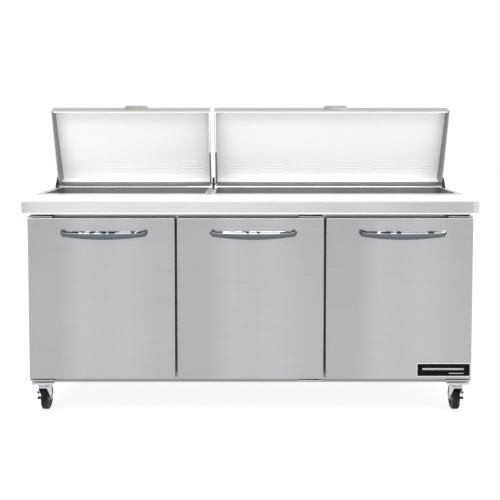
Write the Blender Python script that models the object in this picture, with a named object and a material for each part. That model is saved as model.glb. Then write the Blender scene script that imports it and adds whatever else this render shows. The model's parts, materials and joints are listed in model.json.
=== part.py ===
"""Three-door refrigerated sandwich prep table on casters, with two open pan-rail lids.

Units are metres and +Z is up. X runs along the worktop, the doors face -Y, and the origin is
on the floor under the middle of the worktop. Run with blender --background --python part.py.
"""

import math

import bmesh
import bpy
import numpy as np
from mathutils import Matrix, Vector

# ---------------------------------------------------------------- driving dimensions
WIDTH = 1.8288              # worktop, end to end
DEPTH = 0.762               # worktop nose to its rear edge
RAIL_TOP = 0.900            # pan rail and cutting board, above the floor
CASTER_HEIGHT = 0.131       # floor to the caster pads

GAP = 0.0003                # between pieces that touch
SKIN = 0.0015               # outer panels and inner liner
TOP_SHEET = 0.003           # worktop sheet with its backing
HUGE = 3.0                  # a cut that runs right out of the work

# worktop and pan rail
NOSE_HEIGHT = 0.050         # front face of the worktop below the board ledge
BOARD_STEP = 0.012          # rail top above the board ledge
BOARD_DEPTH = 0.1885
BOARD_SET_BACK = 0.0015     # board behind the nose
RAIL_LINE = 0.191           # nose to the step up to the rail
FRONT_RIM = 0.033
SIDE_RIM = 0.0264
OPENING_DEPTH = 0.340
DIVIDER = 0.038
COLUMNS_LEFT = 4
COLUMNS_RIGHT = 6
COLLAR = 0.002              # sheet turned down round each opening
PAN_DROP = 0.031            # pan rims below the rail top

# pans
PAN_SHEET = 0.0012
PAN_RIM = 0.0018
PAN_RIM_WIDTH = 0.009
PAN_DEPTH = 0.100
PAN_CLEARANCE = 0.001
LEDGE = 0.008               # pan rim carried on the ledge
ROW_BAR = 0.015             # bar between the two rows
BAR_HEIGHT = 0.022
FILL_PORT = 0.012           # hole that the foam is poured through

# cabinet
TOP_OVERHANG = 0.0154       # worktop past each end panel
REAR_SETBACK = 0.014        # back panel inside the worktop's rear edge
DOOR_SETBACK = 0.028        # door face behind the nose
DOOR_THICKNESS = 0.040
DOOR_SKIN = 0.0012
GASKET_THICKNESS = 0.0117
FRAME_DEPTH = 0.020
BASE_HEIGHT = 0.019
BASE_SHEET = 0.002
BASE_RAIL = 0.045
PAD_DROP = 0.006
FLOOR_FOAM = 0.0357
SIDE_FOAM = 0.0452
BACK_FOAM = 0.0502
WELL_THICKNESS = 0.0719
WELL_FOOT_DROP = 0.007      # foot of the well below the pans' floors
MULLION_LAP = 0.036         # door overlap on the frame round its opening

# doors
DOORS = ("left", "middle", "right")
HINGE_SIDE = {"left": -1, "middle": 1, "right": 1}
DOOR_GAP = 0.010
DOOR_TOP_GAP = 0.018
DOOR_BOTTOM = 0.1615
DOOR_PIVOT_IN = 0.012       # hinge axis in from the door's side
DOOR_PIVOT_BACK = 0.010     # hinge axis behind the door's face
GASKET_INSET = 0.016
GASKET_WIDTH = 0.020
PIN_RADIUS = 0.004
PIN_CLEARANCE = 0.0005
PIN_LENGTH = 0.012
PIN_BLOCK = 0.011           # solid block round each pin inside the door's skins
BRACKET_LENGTH = 0.100
BRACKET_SHEET = 0.004
HANDLE_LENGTH = 0.351
HANDLE_SHIFT = 0.012
HANDLE_TOP_DROP = 0.052
HANDLE_HEIGHT = 0.034
HANDLE_REACH = 0.025
HANDLE_SHEET = 0.0025
PLATE_SIZE = (0.215, 0.052)
PLATE_INSET = (0.0055, 0.0115)

# lids
LID_OPEN = math.radians(70.5)
LID_PIVOT_UP = 0.014        # pivot above the rail top
LID_PIVOT_BACK = 0.016      # pivot behind the opening
LID_REST_GAP = 0.003        # closed lid above the rail
LID_HEEL = 0.007            # rear wall behind the pivot
LID_LIP_OVER = 0.0105       # lid front past the opening
LID_REAR_HEIGHT = 0.084
LID_FRONT_HEIGHT = 0.048
LID_WALL = 0.006            # outer shell to liner, with the foam between
LID_SHEET = 0.0015
LID_END_INSET = 0.0094
LID_SPLIT = 0.018           # between the two lids
LID_PIN_RADIUS = 0.0035
TAB_LENGTH = 0.115
TAB_REACH = 0.012
TAB_THICKNESS = 0.008
TAB_SHIFT = 0.020
LID_BRACKET_SHEET = 0.005
LID_BRACKET_HEIGHT = 0.045
LID_BRACKET_BASE = 0.060
CENTRE_BRACKET = 0.010

# casters
WHEEL_RADIUS = 0.051
WHEEL_WIDTH = 0.027
CASTER_TRAIL = 0.038
STEM_IN = 0.0564
STEM_FRONT = 0.097
STEM_REAR = 0.096
PAD_SIZE = 0.100
KINGPIN_RADIUS = 0.005
AXLE_RADIUS = 0.004
FORK_SHEET = 0.0025
FORK_CLEARANCE = 0.003
RACE_RADIUS = 0.027
CROWN_GAP = 0.005
PEDAL_REACH = 0.018

# shelves and machinery
SHELF_HEIGHT = 0.512
SHELF_LEDGE = 0.010
SHELF_TAB = 0.022
SHELF_WIRE = 0.005
SHELF_WIRES = 9
SHELF_BARS = 2
BAY_WIDTH = 0.447           # machine bay in from the right end
BAY_DEPTH = 0.200
BAY_HEIGHT = 0.299
BAY_FOAM = 0.030
BAY_RIM = 0.014             # back panel left round the bay's opening
CONDENSER_SIZE = (0.203, 0.230)
COMPRESSOR_RADIUS = 0.062
COMPRESSOR_HEIGHT = 0.165
FAN_BLADES = 5
CONDENSER_FAN_RADIUS = 0.078
EVAPORATOR_FAN_RADIUS = 0.055

# ---------------------------------------------------------------- derived places
NOSE = -DEPTH / 2
TOP_REAR = DEPTH / 2
HALF = WIDTH / 2
CAB_HALF = HALF - TOP_OVERHANG
INNER_HALF = CAB_HALF - SKIN - GAP
LEDGE_Z = RAIL_TOP - BOARD_STEP
SKIRT_Z = LEDGE_Z - NOSE_HEIGHT
STEP_Y = NOSE + RAIL_LINE
OPEN_FRONT = STEP_Y + FRONT_RIM
OPEN_REAR = OPEN_FRONT + OPENING_DEPTH
OPEN_HALF = HALF - SIDE_RIM
PITCH = (2 * OPEN_HALF - DIVIDER) / (COLUMNS_LEFT + COLUMNS_RIGHT)
DIVIDER_LEFT = -OPEN_HALF + COLUMNS_LEFT * PITCH
DIVIDER_RIGHT = DIVIDER_LEFT + DIVIDER
DIVIDER_X = (DIVIDER_LEFT + DIVIDER_RIGHT) / 2
OPENINGS = {"left": (-OPEN_HALF, DIVIDER_LEFT), "right": (DIVIDER_RIGHT, OPEN_HALF)}
COLUMNS = {"left": COLUMNS_LEFT, "right": COLUMNS_RIGHT}

PAN_TOP = RAIL_TOP - PAN_DROP
PAN_FLOOR = PAN_TOP - PAN_RIM - PAN_DEPTH
WELL_TOP = PAN_TOP - PAN_RIM - GAP
WELL_BOTTOM = WELL_TOP - WELL_THICKNESS
WELL_FOOT = PAN_FLOOR - WELL_FOOT_DROP
ROW_DEPTH = (OPENING_DEPTH - ROW_BAR - 2 * PAN_CLEARANCE) / 2
ROWS = {
    "front": (OPEN_FRONT + PAN_CLEARANCE, OPEN_FRONT + PAN_CLEARANCE + ROW_DEPTH),
    "back": (OPEN_REAR - PAN_CLEARANCE - ROW_DEPTH, OPEN_REAR - PAN_CLEARANCE),
}

DOOR_FACE = NOSE + DOOR_SETBACK
DOOR_BACK = DOOR_FACE + DOOR_THICKNESS
FRAME_FRONT = DOOR_BACK + GASKET_THICKNESS + GAP
FRAME_BACK = FRAME_FRONT + FRAME_DEPTH
CAB_REAR = TOP_REAR - REAR_SETBACK
FOAM_REAR = CAB_REAR - SKIN - GAP
BASE_BOTTOM = CASTER_HEIGHT + PAD_DROP
BASE_TOP = BASE_BOTTOM + BASE_HEIGHT
FOAM_BOTTOM = BASE_TOP + GAP
FOAM_TOP = WELL_FOOT - GAP
FOAM_FRONT = FRAME_BACK + GAP
FLOOR_Z = FOAM_BOTTOM + FLOOR_FOAM + GAP
LINER_HALF = INNER_HALF - SIDE_FOAM - GAP
LINER_REAR = FOAM_REAR - BACK_FOAM - GAP
ROOM_HALF = LINER_HALF - SKIN
ROOM_REAR = LINER_REAR - SKIN
ROOM_FLOOR = FLOOR_Z + SKIN

DOOR_WIDTH = (2 * CAB_HALF - 2 * DOOR_GAP) / len(DOORS)
DOOR_TOP = SKIRT_Z - DOOR_TOP_GAP
DOOR_LEFT_EDGE = {
    side: -CAB_HALF + index * (DOOR_WIDTH + DOOR_GAP) for index, side in enumerate(DOORS)
}

BAY_LEFT = INNER_HALF - BAY_WIDTH
BAY_FRONT = FOAM_REAR - BAY_DEPTH
BAY_TOP = FOAM_BOTTOM + BAY_HEIGHT

LID_PIVOT_Y = OPEN_REAR + LID_PIVOT_BACK
LID_PIVOT_Z = RAIL_TOP + LID_PIVOT_UP
LID_REACH = LID_PIVOT_Y - OPEN_FRONT + LID_LIP_OVER
LID_SPANS = {
    "left": (-HALF + LID_END_INSET, DIVIDER_X - LID_SPLIT / 2),
    "right": (DIVIDER_X + LID_SPLIT / 2, HALF - LID_END_INSET),
}

STEM_X = HALF - STEM_IN
STEM_Y = {"front": NOSE + STEM_FRONT, "rear": TOP_REAR - STEM_REAR}


# ---------------------------------------------------------------- materials
def material(name, colour, roughness, metallic):
    """One Principled material for a kind of surface."""
    made = bpy.data.materials.new(name)
    made.use_nodes = True
    shader = made.node_tree.nodes["Principled BSDF"]
    shader.inputs["Base Color"].default_value = (*colour, 1.0)
    shader.inputs["Roughness"].default_value = roughness
    shader.inputs["Metallic"].default_value = metallic
    made.diffuse_color = (*colour, 1.0)
    return made


def make_materials():
    """The table's surfaces, by the name that the pieces ask for."""
    return {
        "brushed": material("brushed_stainless", (0.55, 0.55, 0.56), 0.34, 1.0),
        "satin": material("satin_stainless", (0.80, 0.80, 0.81), 0.25, 1.0),
        "galvanised": material("galvanised_sheet", (0.45, 0.46, 0.47), 0.50, 1.0),
        "chrome": material("chrome", (0.75, 0.76, 0.78), 0.08, 1.0),
        "aluminium": material("aluminium", (0.70, 0.71, 0.72), 0.35, 1.0),
        "board": material("white_board", (0.82, 0.81, 0.76), 0.50, 0.0),
        "foam": material("insulation_foam", (0.75, 0.66, 0.45), 0.90, 0.0),
        "gasket": material("grey_gasket", (0.22, 0.22, 0.23), 0.70, 0.0),
        "rubber": material("black_rubber", (0.02, 0.02, 0.02), 0.60, 0.0),
        "plastic": material("black_plastic", (0.03, 0.03, 0.03), 0.45, 0.0),
        "enamel": material("black_enamel", (0.02, 0.02, 0.02), 0.30, 0.0),
    }


# ---------------------------------------------------------------- shape tools
def box(low, high):
    """An axis-aligned box as a mesh."""
    return carve([("add", low, high)])


def carve(steps):
    """Sheet and block work: boxes added and cut in order, as one mesh of the outer faces."""
    added = [step for step in steps if step[0] == "add"]
    planes = []
    for axis in range(3):
        low = min(step[1][axis] for step in added)
        high = max(step[2][axis] for step in added)
        marks = {step[1][axis] for step in steps} | {step[2][axis] for step in steps}
        planes.append(sorted({round(mark, 7) for mark in marks if low <= mark <= high}))
    middles = [np.convolve(np.array(marks), (0.5, 0.5), "valid") for marks in planes]
    full = np.zeros([len(middle) + 2 for middle in middles], bool)
    inside = full[1:-1, 1:-1, 1:-1]
    for kind, low, high in steps:
        masks = [
            (middle > low[axis]) & (middle < high[axis])
            for axis, middle in enumerate(middles)
        ]
        inside[np.ix_(*masks)] = kind == "add"
    shape = bmesh.new()
    corners = {}

    def corner(index):
        if index not in corners:
            corners[index] = shape.verts.new([planes[a][index[a]] for a in range(3)])
        return corners[index]

    for axis in range(3):
        second, third = (axis + 1) % 3, (axis + 2) % 3
        step = np.diff(full.astype(np.int8), axis=axis)
        for cell in np.argwhere(step):
            way = step[tuple(cell)]
            base = list(cell)
            base[second] -= 1
            base[third] -= 1
            ring = []
            for shift in ((0, 0), (1, 0), (1, 1), (0, 1)):
                at = list(base)
                at[second] += shift[0]
                at[third] += shift[1]
                ring.append(corner(tuple(int(value) for value in at)))
            shape.faces.new(ring if way < 0 else ring[::-1])
    bmesh.ops.dissolve_limit(
        shape, angle_limit=0.001, verts=shape.verts[:], edges=shape.edges[:]
    )
    return to_mesh(shape, False)


def to_mesh(shape, turn=True):
    """The bmesh as mesh data; turn faces its one skin outward, and a hollow's skins stay."""
    if turn:
        bmesh.ops.recalc_face_normals(shape, faces=shape.faces[:])
    made = bpy.data.meshes.new("shape")
    shape.to_mesh(made)
    shape.free()
    return made


def loft(rings, joined=False):
    """A closed skin over rings of points; joined links the last ring to the first."""
    shape = bmesh.new()
    loops = [[shape.verts.new(point) for point in ring] for ring in rings]
    pairs = list(zip(loops, loops[1:]))
    if joined:
        pairs.append((loops[-1], loops[0]))
    else:
        shape.faces.new(loops[0])
        shape.faces.new(loops[-1])
    for one, two in pairs:
        for index in range(len(one)):
            after = (index + 1) % len(one)
            shape.faces.new((one[index], one[after], two[after], two[index]))
    return to_mesh(shape)


def along_x(outline, low, high):
    """An outline of (y, z) points pushed along X."""
    return loft([[(x, y, z) for y, z in outline] for x in (low, high)])


def along_y(outline, low, high):
    """An outline of (x, z) points pushed along Y."""
    return loft([[(x, y, z) for x, z in outline] for y in (low, high)])


def along_z(outline, low, high):
    """An outline of (x, y) points pushed along Z."""
    return loft([[(x, y, z) for x, y in outline] for z in (low, high)])


def turned(profile, axis, centre, sides=24):
    """A profile of (radius, distance along the axis) turned round an axis through centre.

    A profile that starts and ends at radius 0 is solid; any other is a ring.
    """
    solid = profile[0][0] == 0 and profile[-1][0] == 0
    shape = bmesh.new()
    rings = []
    for radius, reach in profile:
        if radius == 0:
            rings.append([shape.verts.new((0, 0, reach))])
            continue
        turn = [2 * math.pi * step / sides for step in range(sides)]
        rings.append(
            [
                shape.verts.new((radius * math.cos(a), radius * math.sin(a), reach))
                for a in turn
            ]
        )
    pairs = list(zip(rings, rings[1:]))
    if not solid:
        pairs.append((rings[-1], rings[0]))
    for one, two in pairs:
        for index in range(sides):
            after = (index + 1) % sides
            face = [one[index % len(one)], one[after % len(one)]]
            face += [two[after % len(two)], two[index % len(two)]]
            shape.faces.new(list(dict.fromkeys(face)))
    made = to_mesh(shape)
    turn_to = {"x": Matrix.Rotation(math.pi / 2, 4, "Y"), "z": Matrix.Identity(4)}
    turn_to["y"] = Matrix.Rotation(-math.pi / 2, 4, "X")
    made.transform(Matrix.Translation(centre) @ turn_to[axis])
    return made


def rod(radius, low, high, axis, centre, sides=16):
    """A plain round bar between two distances along its axis."""
    profile = [(0, low), (radius, low), (radius, high), (0, high)]
    return turned(profile, axis, centre, sides)


def rounded(low, high, radius, steps=4):
    """A rectangle's outline with round corners."""
    points = []
    for index, (sx, sy) in enumerate(((1, 1), (-1, 1), (-1, -1), (1, -1))):
        cx = (high[0] if sx > 0 else low[0]) - sx * radius
        cy = (high[1] if sy > 0 else low[1]) - sy * radius
        for step in range(steps + 1):
            angle = math.pi / 2 * (index + step / steps)
            points.append((cx + radius * math.cos(angle), cy + radius * math.sin(angle)))
    return points


def combine(first, second, operation):
    """The Boolean of two meshes, as a new mesh."""
    base = bpy.data.objects.new("base", first)
    tool = bpy.data.objects.new("tool", second)
    for each in (base, tool):
        bpy.context.scene.collection.objects.link(each)
    change = base.modifiers.new("change", "BOOLEAN")
    change.operation = operation
    change.solver = "EXACT"
    change.object = tool
    bpy.context.view_layer.update()
    graph = bpy.context.evaluated_depsgraph_get()
    made = bpy.data.meshes.new_from_object(base.evaluated_get(graph))
    for each in (base, tool):
        bpy.data.objects.remove(each)
    return made


def joined(first, *others):
    """Meshes that overlap, as one body."""
    for other in others:
        first = combine(first, other, "UNION")
    return first


def cut(first, *tools):
    """A mesh with others taken out of it."""
    for tool in tools:
        first = combine(first, tool, "DIFFERENCE")
    return first


class Bench:
    """Places finished meshes in the scene as named pieces."""

    def __init__(self):
        self.surfaces = make_materials()
        self.frames = {}

    def frame(self, name, place, tilt=0.0):
        """An empty on a joint's axis, which the pieces of that moving body hang from."""
        empty = bpy.data.objects.new(name, None)
        empty.empty_display_size = 0.05
        empty.location = place
        empty.rotation_euler.x = tilt
        bpy.context.scene.collection.objects.link(empty)
        self.frames[name] = empty
        return empty

    def piece(self, name, made, surface, frame=None, local=False, smooth=None, bevel=0.0):
        """A mesh as one piece. It is in world places unless local, then in its frame's."""
        made.name = name
        item = bpy.data.objects.new(name, made)
        bpy.context.scene.collection.objects.link(item)
        made.materials.clear()
        made.materials.append(self.surfaces[surface])
        if frame is not None:
            item.parent = self.frames[frame]
            if not local:
                made.transform(Matrix.Translation(-Vector(item.parent.location)))
        if smooth is not None:
            made.shade_smooth()
            made.set_sharp_from_angle(angle=math.radians(smooth))
        if bevel:
            edge = item.modifiers.new("edge", "BEVEL")
            edge.width = bevel
            edge.segments = 2
            edge.limit_method = "ANGLE"
            edge.angle_limit = math.radians(60)
        return item


# ---------------------------------------------------------------- worktop and pan rail
def build_worktop(bench):
    """The one-piece top: nose and skirt, board ledge, raised rail and turned-down collars."""
    steps = [
        ("add", (-HALF, NOSE, SKIRT_Z), (HALF, TOP_REAR, LEDGE_Z)),
        ("add", (-HALF, STEP_Y, SKIRT_Z), (HALF, TOP_REAR, RAIL_TOP)),
        (
            "cut",
            (-HALF + TOP_SHEET, NOSE + TOP_SHEET, -HUGE),
            (HALF - TOP_SHEET, TOP_REAR - TOP_SHEET, LEDGE_Z - TOP_SHEET),
        ),
        (
            "cut",
            (-HALF + TOP_SHEET, STEP_Y + TOP_SHEET, -HUGE),
            (HALF - TOP_SHEET, TOP_REAR - TOP_SHEET, RAIL_TOP - TOP_SHEET),
        ),
    ]
    for low, high in OPENINGS.values():
        steps.append(
            (
                "add",
                (low - COLLAR, OPEN_FRONT - COLLAR, WELL_TOP + GAP),
                (high + COLLAR, OPEN_REAR + COLLAR, RAIL_TOP - TOP_SHEET / 2),
            )
        )
    for low, high in OPENINGS.values():
        steps.append(("cut", (low, OPEN_FRONT, -HUGE), (high, OPEN_REAR, HUGE)))
    bench.piece("worktop", carve(steps), "brushed")

    board_front = NOSE + BOARD_SET_BACK
    bench.frame("board_frame", (0, board_front + BOARD_DEPTH / 2, LEDGE_Z))
    board = box(
        (-HALF + GAP, board_front, LEDGE_Z + GAP),
        (HALF - GAP, board_front + BOARD_DEPTH, RAIL_TOP),
    )
    bench.piece("cutting_board", board, "board", "board_frame", bevel=0.002)


def build_pan_well(bench):
    """The double-skinned deck under the rail: a walled opening for each set of pans.

    A ledge round each opening and a bar across it carry the pan rims, and a port in the rear
    takes the foam.
    """
    sheet = SKIN
    steps = [
        ("add", (-INNER_HALF, FOAM_FRONT, WELL_FOOT), (INNER_HALF, FOAM_REAR, WELL_TOP)),
        (
            "cut",
            (-INNER_HALF + sheet, FOAM_FRONT + sheet, WELL_FOOT + sheet),
            (INNER_HALF - sheet, FOAM_REAR - sheet, WELL_TOP - sheet),
        ),
        (
            "add",
            (-ROOM_HALF - sheet, FOAM_FRONT, WELL_FOOT),
            (ROOM_HALF + sheet, ROOM_REAR + sheet, WELL_BOTTOM + sheet),
        ),
        ("cut", (-ROOM_HALF, -HUGE, -HUGE), (ROOM_HALF, ROOM_REAR, WELL_BOTTOM)),
    ]
    near, far = OPEN_FRONT + LEDGE, OPEN_REAR - LEDGE
    for low, high in OPENINGS.values():
        steps.append(
            (
                "add",
                (low + LEDGE - sheet, near - sheet, WELL_FOOT),
                (high - LEDGE + sheet, far + sheet, WELL_TOP),
            )
        )
        steps.append(("cut", (low + LEDGE, near, -HUGE), (high - LEDGE, far, HUGE)))
    bar_middle = (OPEN_FRONT + OPEN_REAR) / 2
    bar_half = ROW_BAR / 2 + LEDGE
    for low, high in OPENINGS.values():
        steps.append(
            (
                "add",
                (low + LEDGE - sheet, bar_middle - bar_half, WELL_TOP - BAR_HEIGHT),
                (high - LEDGE + sheet, bar_middle + bar_half, WELL_TOP),
            )
        )
        steps.append(
            (
                "cut",
                (low + LEDGE, bar_middle - bar_half + sheet, -HUGE),
                (high - LEDGE, bar_middle + bar_half - sheet, WELL_TOP - sheet),
            )
        )
    port = (WELL_BOTTOM + WELL_TOP) / 2
    steps.append(
        (
            "cut",
            (-FILL_PORT / 2, FOAM_REAR - 2 * sheet, port - FILL_PORT / 2),
            (FILL_PORT / 2, HUGE, port + FILL_PORT / 2),
        )
    )
    bench.piece("pan_well", carve(steps), "galvanised")


def build_pan_row(bench, side, row):
    """One row of lift-out pans, hung by their rims from the ledge and the row bar."""
    low, high = OPENINGS[side]
    front, back = ROWS[row]
    rim_low, rim_high = low + PAN_CLEARANCE, high - PAN_CLEARANCE
    steps = [
        (
            "add",
            (rim_low, front, PAN_TOP - PAN_RIM),
            (rim_high, back, PAN_TOP),
        )
    ]
    for column in range(COLUMNS[side]):
        start = low + column * PITCH + PAN_CLEARANCE + PAN_RIM_WIDTH
        end = low + (column + 1) * PITCH - PAN_CLEARANCE - PAN_RIM_WIDTH
        near, far = front + PAN_RIM_WIDTH, back - PAN_RIM_WIDTH
        steps.append(("add", (start, near, PAN_FLOOR), (end, far, PAN_TOP)))
        steps.append(
            (
                "cut",
                (start + PAN_SHEET, near + PAN_SHEET, PAN_FLOOR + PAN_SHEET),
                (end - PAN_SHEET, far - PAN_SHEET, HUGE),
            )
        )
    name = f"pan_row_{side}_{row}"
    bench.frame(f"{name}_frame", ((low + high) / 2, (front + back) / 2, WELL_TOP))
    bench.piece(name, carve(steps), "satin", f"{name}_frame")


# ---------------------------------------------------------------- cabinet
def build_cabinet(bench):
    """End panels, back, base, insulation, liner and the frame that the doors close on."""
    for side, name in ((-1, "end_panel_left"), (1, "end_panel_right")):
        outer = side * CAB_HALF
        inner = side * (CAB_HALF - SKIN)
        panel = box(
            (min(outer, inner), FRAME_FRONT, BASE_BOTTOM),
            (max(outer, inner), CAB_REAR, WELL_TOP),
        )
        bench.piece(name, panel, "brushed")

    hole_low = (BAY_LEFT + BAY_RIM, BASE_TOP + BAY_RIM)
    hole_high = (INNER_HALF - BAY_RIM, BAY_TOP - BAY_RIM)
    back = [
        ("add", (-INNER_HALF, CAB_REAR - SKIN, BASE_BOTTOM), (INNER_HALF, CAB_REAR, WELL_TOP)),
        ("cut", (hole_low[0], -HUGE, hole_low[1]), (hole_high[0], HUGE, hole_high[1])),
    ]
    bench.piece("back_panel", carve(back), "galvanised")
    build_rear_grille(bench, hole_low, hole_high)

    build_base(bench)

    foam = [
        ("add", (-INNER_HALF, FOAM_FRONT, FOAM_BOTTOM), (INNER_HALF, FOAM_REAR, FOAM_TOP)),
        (
            "cut",
            (-LINER_HALF - GAP, -HUGE, FLOOR_Z - GAP),
            (LINER_HALF + GAP, LINER_REAR + GAP, HUGE),
        ),
        (
            "add",
            (BAY_LEFT - BAY_FOAM, BAY_FRONT - BAY_FOAM, FOAM_BOTTOM),
            (INNER_HALF, FOAM_REAR, BAY_TOP + BAY_FOAM),
        ),
        ("cut", (BAY_LEFT, BAY_FRONT, -HUGE), (HUGE, HUGE, BAY_TOP)),
    ]
    bench.piece("insulation", carve(foam), "foam")

    hump = (BAY_LEFT - BAY_FOAM - GAP, BAY_FRONT - BAY_FOAM - GAP, BAY_TOP + BAY_FOAM + GAP)
    liner = [
        ("add", (-LINER_HALF, FOAM_FRONT, FLOOR_Z), (LINER_HALF, LINER_REAR, FOAM_TOP)),
        ("cut", (-ROOM_HALF, -HUGE, ROOM_FLOOR), (ROOM_HALF, ROOM_REAR, HUGE)),
        (
            "add",
            (hump[0] - SKIN, hump[1] - SKIN, FLOOR_Z),
            (LINER_HALF, LINER_REAR, hump[2] + SKIN),
        ),
        ("cut", (hump[0], hump[1], -HUGE), (HUGE, HUGE, hump[2])),
        (
            "add",
            (-LINER_HALF, ROOM_REAR - SHELF_LEDGE, SHELF_HEIGHT - SHELF_LEDGE),
            (LINER_HALF, LINER_REAR, SHELF_HEIGHT - GAP),
        ),
    ]
    bench.piece("inner_liner", carve(liner), "aluminium")

    frame = [
        ("add", (-INNER_HALF, FRAME_FRONT, BASE_TOP + GAP), (INNER_HALF, FRAME_BACK, WELL_TOP)),
        (
            "cut",
            (-INNER_HALF + SKIN, FRAME_FRONT + SKIN, BASE_TOP + GAP + SKIN),
            (INNER_HALF - SKIN, HUGE, WELL_TOP - SKIN),
        ),
    ]
    for side in DOORS:
        left = DOOR_LEFT_EDGE[side] + MULLION_LAP
        right = left + DOOR_WIDTH - 2 * MULLION_LAP
        low, high = DOOR_BOTTOM + MULLION_LAP, DOOR_TOP - MULLION_LAP
        frame.append(
            (
                "add",
                (left - SKIN, FRAME_FRONT, low - SKIN),
                (right + SKIN, FRAME_BACK, high + SKIN),
            )
        )
        frame.append(("cut", (left, -HUGE, low), (right, HUGE, high)))
    for side in DOORS[1:]:
        centre = DOOR_LEFT_EDGE[side] - DOOR_GAP / 2
        half = DOOR_GAP / 2 + MULLION_LAP
        frame.append(
            (
                "add",
                (centre - half, FRAME_BACK - SKIN, SHELF_HEIGHT - SHELF_LEDGE),
                (centre + half, FRAME_BACK + SHELF_TAB, SHELF_HEIGHT - GAP),
            )
        )
    bench.piece("face_frame", carve(frame), "brushed")


def build_rear_grille(bench, low, high):
    """A louvred cover screwed over the machine bay's opening."""
    lap = 0.006
    face = CAB_REAR + GAP
    steps = [
        (
            "add",
            (low[0] - lap, face, low[1] - lap),
            (high[0] + lap, face + 0.003, high[1] + lap),
        )
    ]
    slots = 11
    rise = (high[1] - low[1]) / slots
    middle = (low[0] + high[0]) / 2
    for index in range(slots):
        bottom = low[1] + (index + 0.28) * rise
        for start, end in ((low[0] + 0.012, middle - 0.010), (middle + 0.010, high[0] - 0.012)):
            steps.append(
                ("cut", (start, -HUGE, bottom), (end, HUGE, bottom + 0.44 * rise))
            )
    bench.piece("rear_grille", carve(steps), "enamel")


def channel(low, high, wall, top):
    """The steps for an open-bottomed channel of folded sheet between two corners."""
    return [
        ("add", low, high),
        (
            "cut",
            (low[0] + wall, low[1] + wall, -HUGE),
            (high[0] - wall, high[1] - wall, high[2] - top),
        ),
    ]


def build_base(bench):
    """The welded base: a folded floor sheet with rim and cross channels, and caster pads."""
    sheet, rail = BASE_SHEET, BASE_RAIL
    front, rear = FRAME_FRONT, FOAM_REAR
    steps = channel(
        (-INNER_HALF, front, BASE_BOTTOM), (INNER_HALF, rear, BASE_TOP), sheet, sheet
    )
    steps += channel(
        (-INNER_HALF + rail, front + rail, BASE_BOTTOM),
        (INNER_HALF - rail, rear - rail, BASE_TOP),
        sheet,
        sheet,
    )
    for side in DOORS[1:]:
        centre = DOOR_LEFT_EDGE[side] - DOOR_GAP / 2
        steps += channel(
            (centre - rail / 2, front + rail, BASE_BOTTOM),
            (centre + rail / 2, rear - rail, BASE_TOP),
            sheet,
            sheet,
        )
    for side in (-1, 1):
        for place in STEM_Y.values():
            outer = side * INNER_HALF
            inner = side * (STEM_X - PAD_SIZE / 2)
            steps.append(
                (
                    "add",
                    (min(outer, inner), place - PAD_SIZE / 2, CASTER_HEIGHT),
                    (max(outer, inner), place + PAD_SIZE / 2, BASE_BOTTOM + sheet),
                )
            )
    holes = [
        rod(
            KINGPIN_RADIUS + PIN_CLEARANCE,
            -PAD_DROP,
            PAD_DROP + 2 * sheet,
            "z",
            (side * STEM_X, place, CASTER_HEIGHT),
        )
        for side in (-1, 1)
        for place in STEM_Y.values()
    ]
    bench.piece("base_frame", cut(carve(steps), *holes), "galvanised")


def build_shelf(bench, side):
    """A wire shelf for one compartment, on the rear ledge and the frame's tabs."""
    left = DOOR_LEFT_EDGE[side] + 0.008
    right = DOOR_LEFT_EDGE[side] + DOOR_WIDTH - 0.008
    left = max(left, -ROOM_HALF + 0.002)
    right = min(right, ROOM_HALF - 0.002)
    front, rear = FRAME_BACK + 0.006, ROOM_REAR - 0.002
    low, high = SHELF_HEIGHT, SHELF_HEIGHT + SHELF_WIRE
    steps = [
        ("add", (left, front, low), (right, rear, high + SHELF_WIRE)),
        (
            "cut",
            (left + SHELF_WIRE, front + SHELF_WIRE, -HUGE),
            (right - SHELF_WIRE, rear - SHELF_WIRE, HUGE),
        ),
    ]
    lap = 0.002
    for index in range(SHELF_BARS):
        at = front + (index + 1) * (rear - front) / (SHELF_BARS + 1)
        steps.append(
            ("add", (left + lap, at, low), (right - lap, at + SHELF_WIRE, high))
        )
    for index in range(SHELF_WIRES):
        at = left + (index + 1) * (right - left) / (SHELF_WIRES + 1)
        steps.append(
            (
                "add",
                (at, front + lap, high - 0.001),
                (at + SHELF_WIRE, rear - lap, high + SHELF_WIRE - 0.001),
            )
        )
    bench.piece(f"shelf_{side}", carve(steps), "chrome")


# ---------------------------------------------------------------- doors
def door_pivot(side):
    """The place of a door's hinge axis, at floor height."""
    left = DOOR_LEFT_EDGE[side]
    if HINGE_SIDE[side] < 0:
        return left + DOOR_PIVOT_IN, DOOR_FACE + DOOR_PIVOT_BACK
    return left + DOOR_WIDTH - DOOR_PIVOT_IN, DOOR_FACE + DOOR_PIVOT_BACK


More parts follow.
